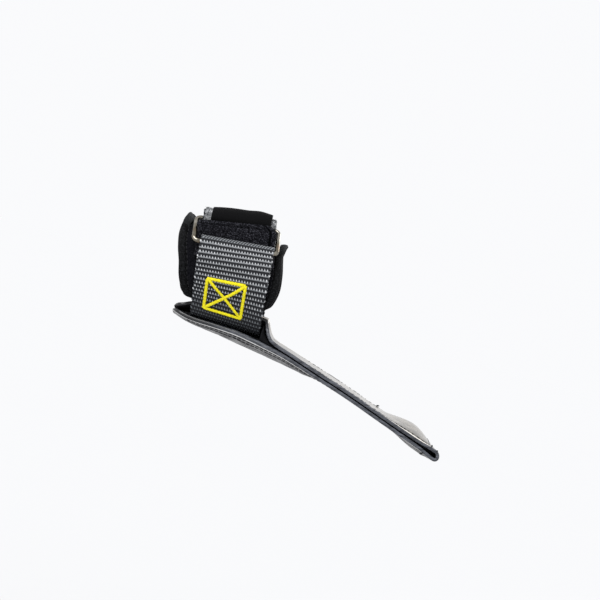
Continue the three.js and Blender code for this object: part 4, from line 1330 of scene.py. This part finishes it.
for side, where in ((1, "front"), (-1, "back")):
    make_tip(f"{where}_left_tape_end", LEFT_TIP, side)
    make_tip(f"{where}_right_tape_end", RIGHT_TIP, side)
print("tape ends: 4")

# %% [markdown]
# The flap is a smaller piece of foam, sewn in under the strap. It comes up behind the ring's lower bar,
# through the ring, and stands in front of the strap's fold. It gets a slanted top with two rounded corners, a
# waist where the ring's sides hold it, and a seam sunk a few millimetres inside its edge.

# %% The flap's outline
FLAP_HALF, FLAP_HEIGHT, FLAP_SLANT, LEFT_CORNER, RIGHT_CORNER = 26.2, 16.4, 0.09, 4.0, 7.8
FLAP_ROWS, FLAP_COLUMNS, BAR_KNOT = 80, 91, 4
FOOT_BELOW = np.array([12, 8])
FLAP_SHARES = np.array([-0.28, -0.16, 0, 0.2, 0.4, 0.58, 0.72, 0.83, 0.91, 0.97, 1])
# Each row: height above the ring's lower bar, and how far the flap lies behind it.
FLAP_LINE = np.array([(-5.2, 2.95), (-2.9, 4.75), (0, 5.75), (4, 5.75), (25, 5.3)])


def flap_line(across):
    angle = angle_at_height(LOWER_BAR_Z) + angle_shift(across)
    foot = on_oval(angle - FOOT_BELOW, np.full(2, pad_behind_ring))
    above = FLAP_SHARES * FLAP_HEIGHT + np.clip(FLAP_SHARES, 0, 1) * FLAP_SLANT * across
    rising = on_ring(across, 0, 0)[1:] + np.stack([eased(FLAP_LINE, above), above], 1)
    return np.concatenate([foot, rising])


flap_middle = flap_line(0)
flap_knots = run_along(flap_middle)
flap_along = flap_knots[-1] * (1 - np.linspace(1, 0, FLAP_ROWS) ** 1.6)
from_top = flap_knots[-1] - flap_along
above_bar = flap_along - flap_knots[BAR_KNOT]


def half_flap(corner, waist, level, reach):
    """Half the flap's width at each row: a round corner at its top, and a waist where the ring's side is."""
    rise = np.clip(corner - from_top, 0, corner)
    narrowed = waist * bell(above_bar, level, reach, 4)
    return (FLAP_HALF - narrowed - corner + np.sqrt(corner**2 - rise**2))[:, None]


part = np.linspace(-1, 1, FLAP_COLUMNS)
left_half = half_flap(LEFT_CORNER, waist=0.95, level=5.5, reach=5.0)
right_half = half_flap(RIGHT_CORNER, waist=0.72, level=6.4, reach=4.0)
flap_across = part * np.where(part < 0, left_half, right_half)
print("flap:", round(flap_knots[-1]), "mm from foot to top")

# %% [markdown]
# The flap's lines are worked out at nine places across it and blended between them. Its thickness is sunk at
# the seam and at the rim, and pressed where the lower bar bears on it.

# %% Flap in the ring
SEAM_SINK, RIM_SINK, BAR_PRESS, PRESS_LEVEL, PRESS_REACH = 0.9, 0.4, 0.5, -4.5, 5.5
samples = np.linspace(-FLAP_HALF, FLAP_HALF, 9)
sampled = np.array([spline(flap_knots, flap_line(a), flap_along) for a in samples])
flap_lines, headings = sampled[:, 0], sampled[:, 1]
middle, _ = spline(flap_knots, flap_middle, flap_along)
leans = (middle[:, 1] - lower_bar[2]) * ring_up[0] / ring_up[2]
points = np.empty((FLAP_ROWS, FLAP_COLUMNS, 3))
normals = np.zeros_like(points)
for r, a in enumerate(flap_across):
    points[r, :, 0] = lower_bar[0] + leans[r] + a * ring_along[0]
    points[r, :, 1] = np.interp(a, samples, flap_lines[:, r, 0])
    points[r, :, 2] = np.interp(a, samples, flap_lines[:, r, 1])
    normals[r, :, 1] = -np.interp(a, samples, headings[:, r, 1])
    normals[r, :, 2] = np.interp(a, samples, headings[:, r, 0])
to_right = flap_across[:, -1:] - flap_across
to_side = np.minimum(flap_across - flap_across[:, :1], to_right)
to_edge = np.minimum(to_side, from_top[:, None])
flat = np.stack(np.broadcast_arrays(to_right, flap_along[:, None]), -1)
seam = SEAM_SINK * bell(to_edge, FLAP_SEAM_IN, 0.6) + RIM_SINK * bell(to_edge, 0, 0.9)
pressed = BAR_PRESS * bell(above_bar, PRESS_LEVEL, PRESS_REACH, 4)[:, None]
half = (RING_PAD_THICKNESS / 2 - seam * (1 - pressed) - pressed)[..., None]
outer, inner = points + normals * half, points - normals * half
flap = ribbon("foam_flap", outer, inner, [linty_neoprene], flat, roundness=0.8)
settle(flap, "ring_pad")
print("flap:", len(flap.data.polygons), "faces")
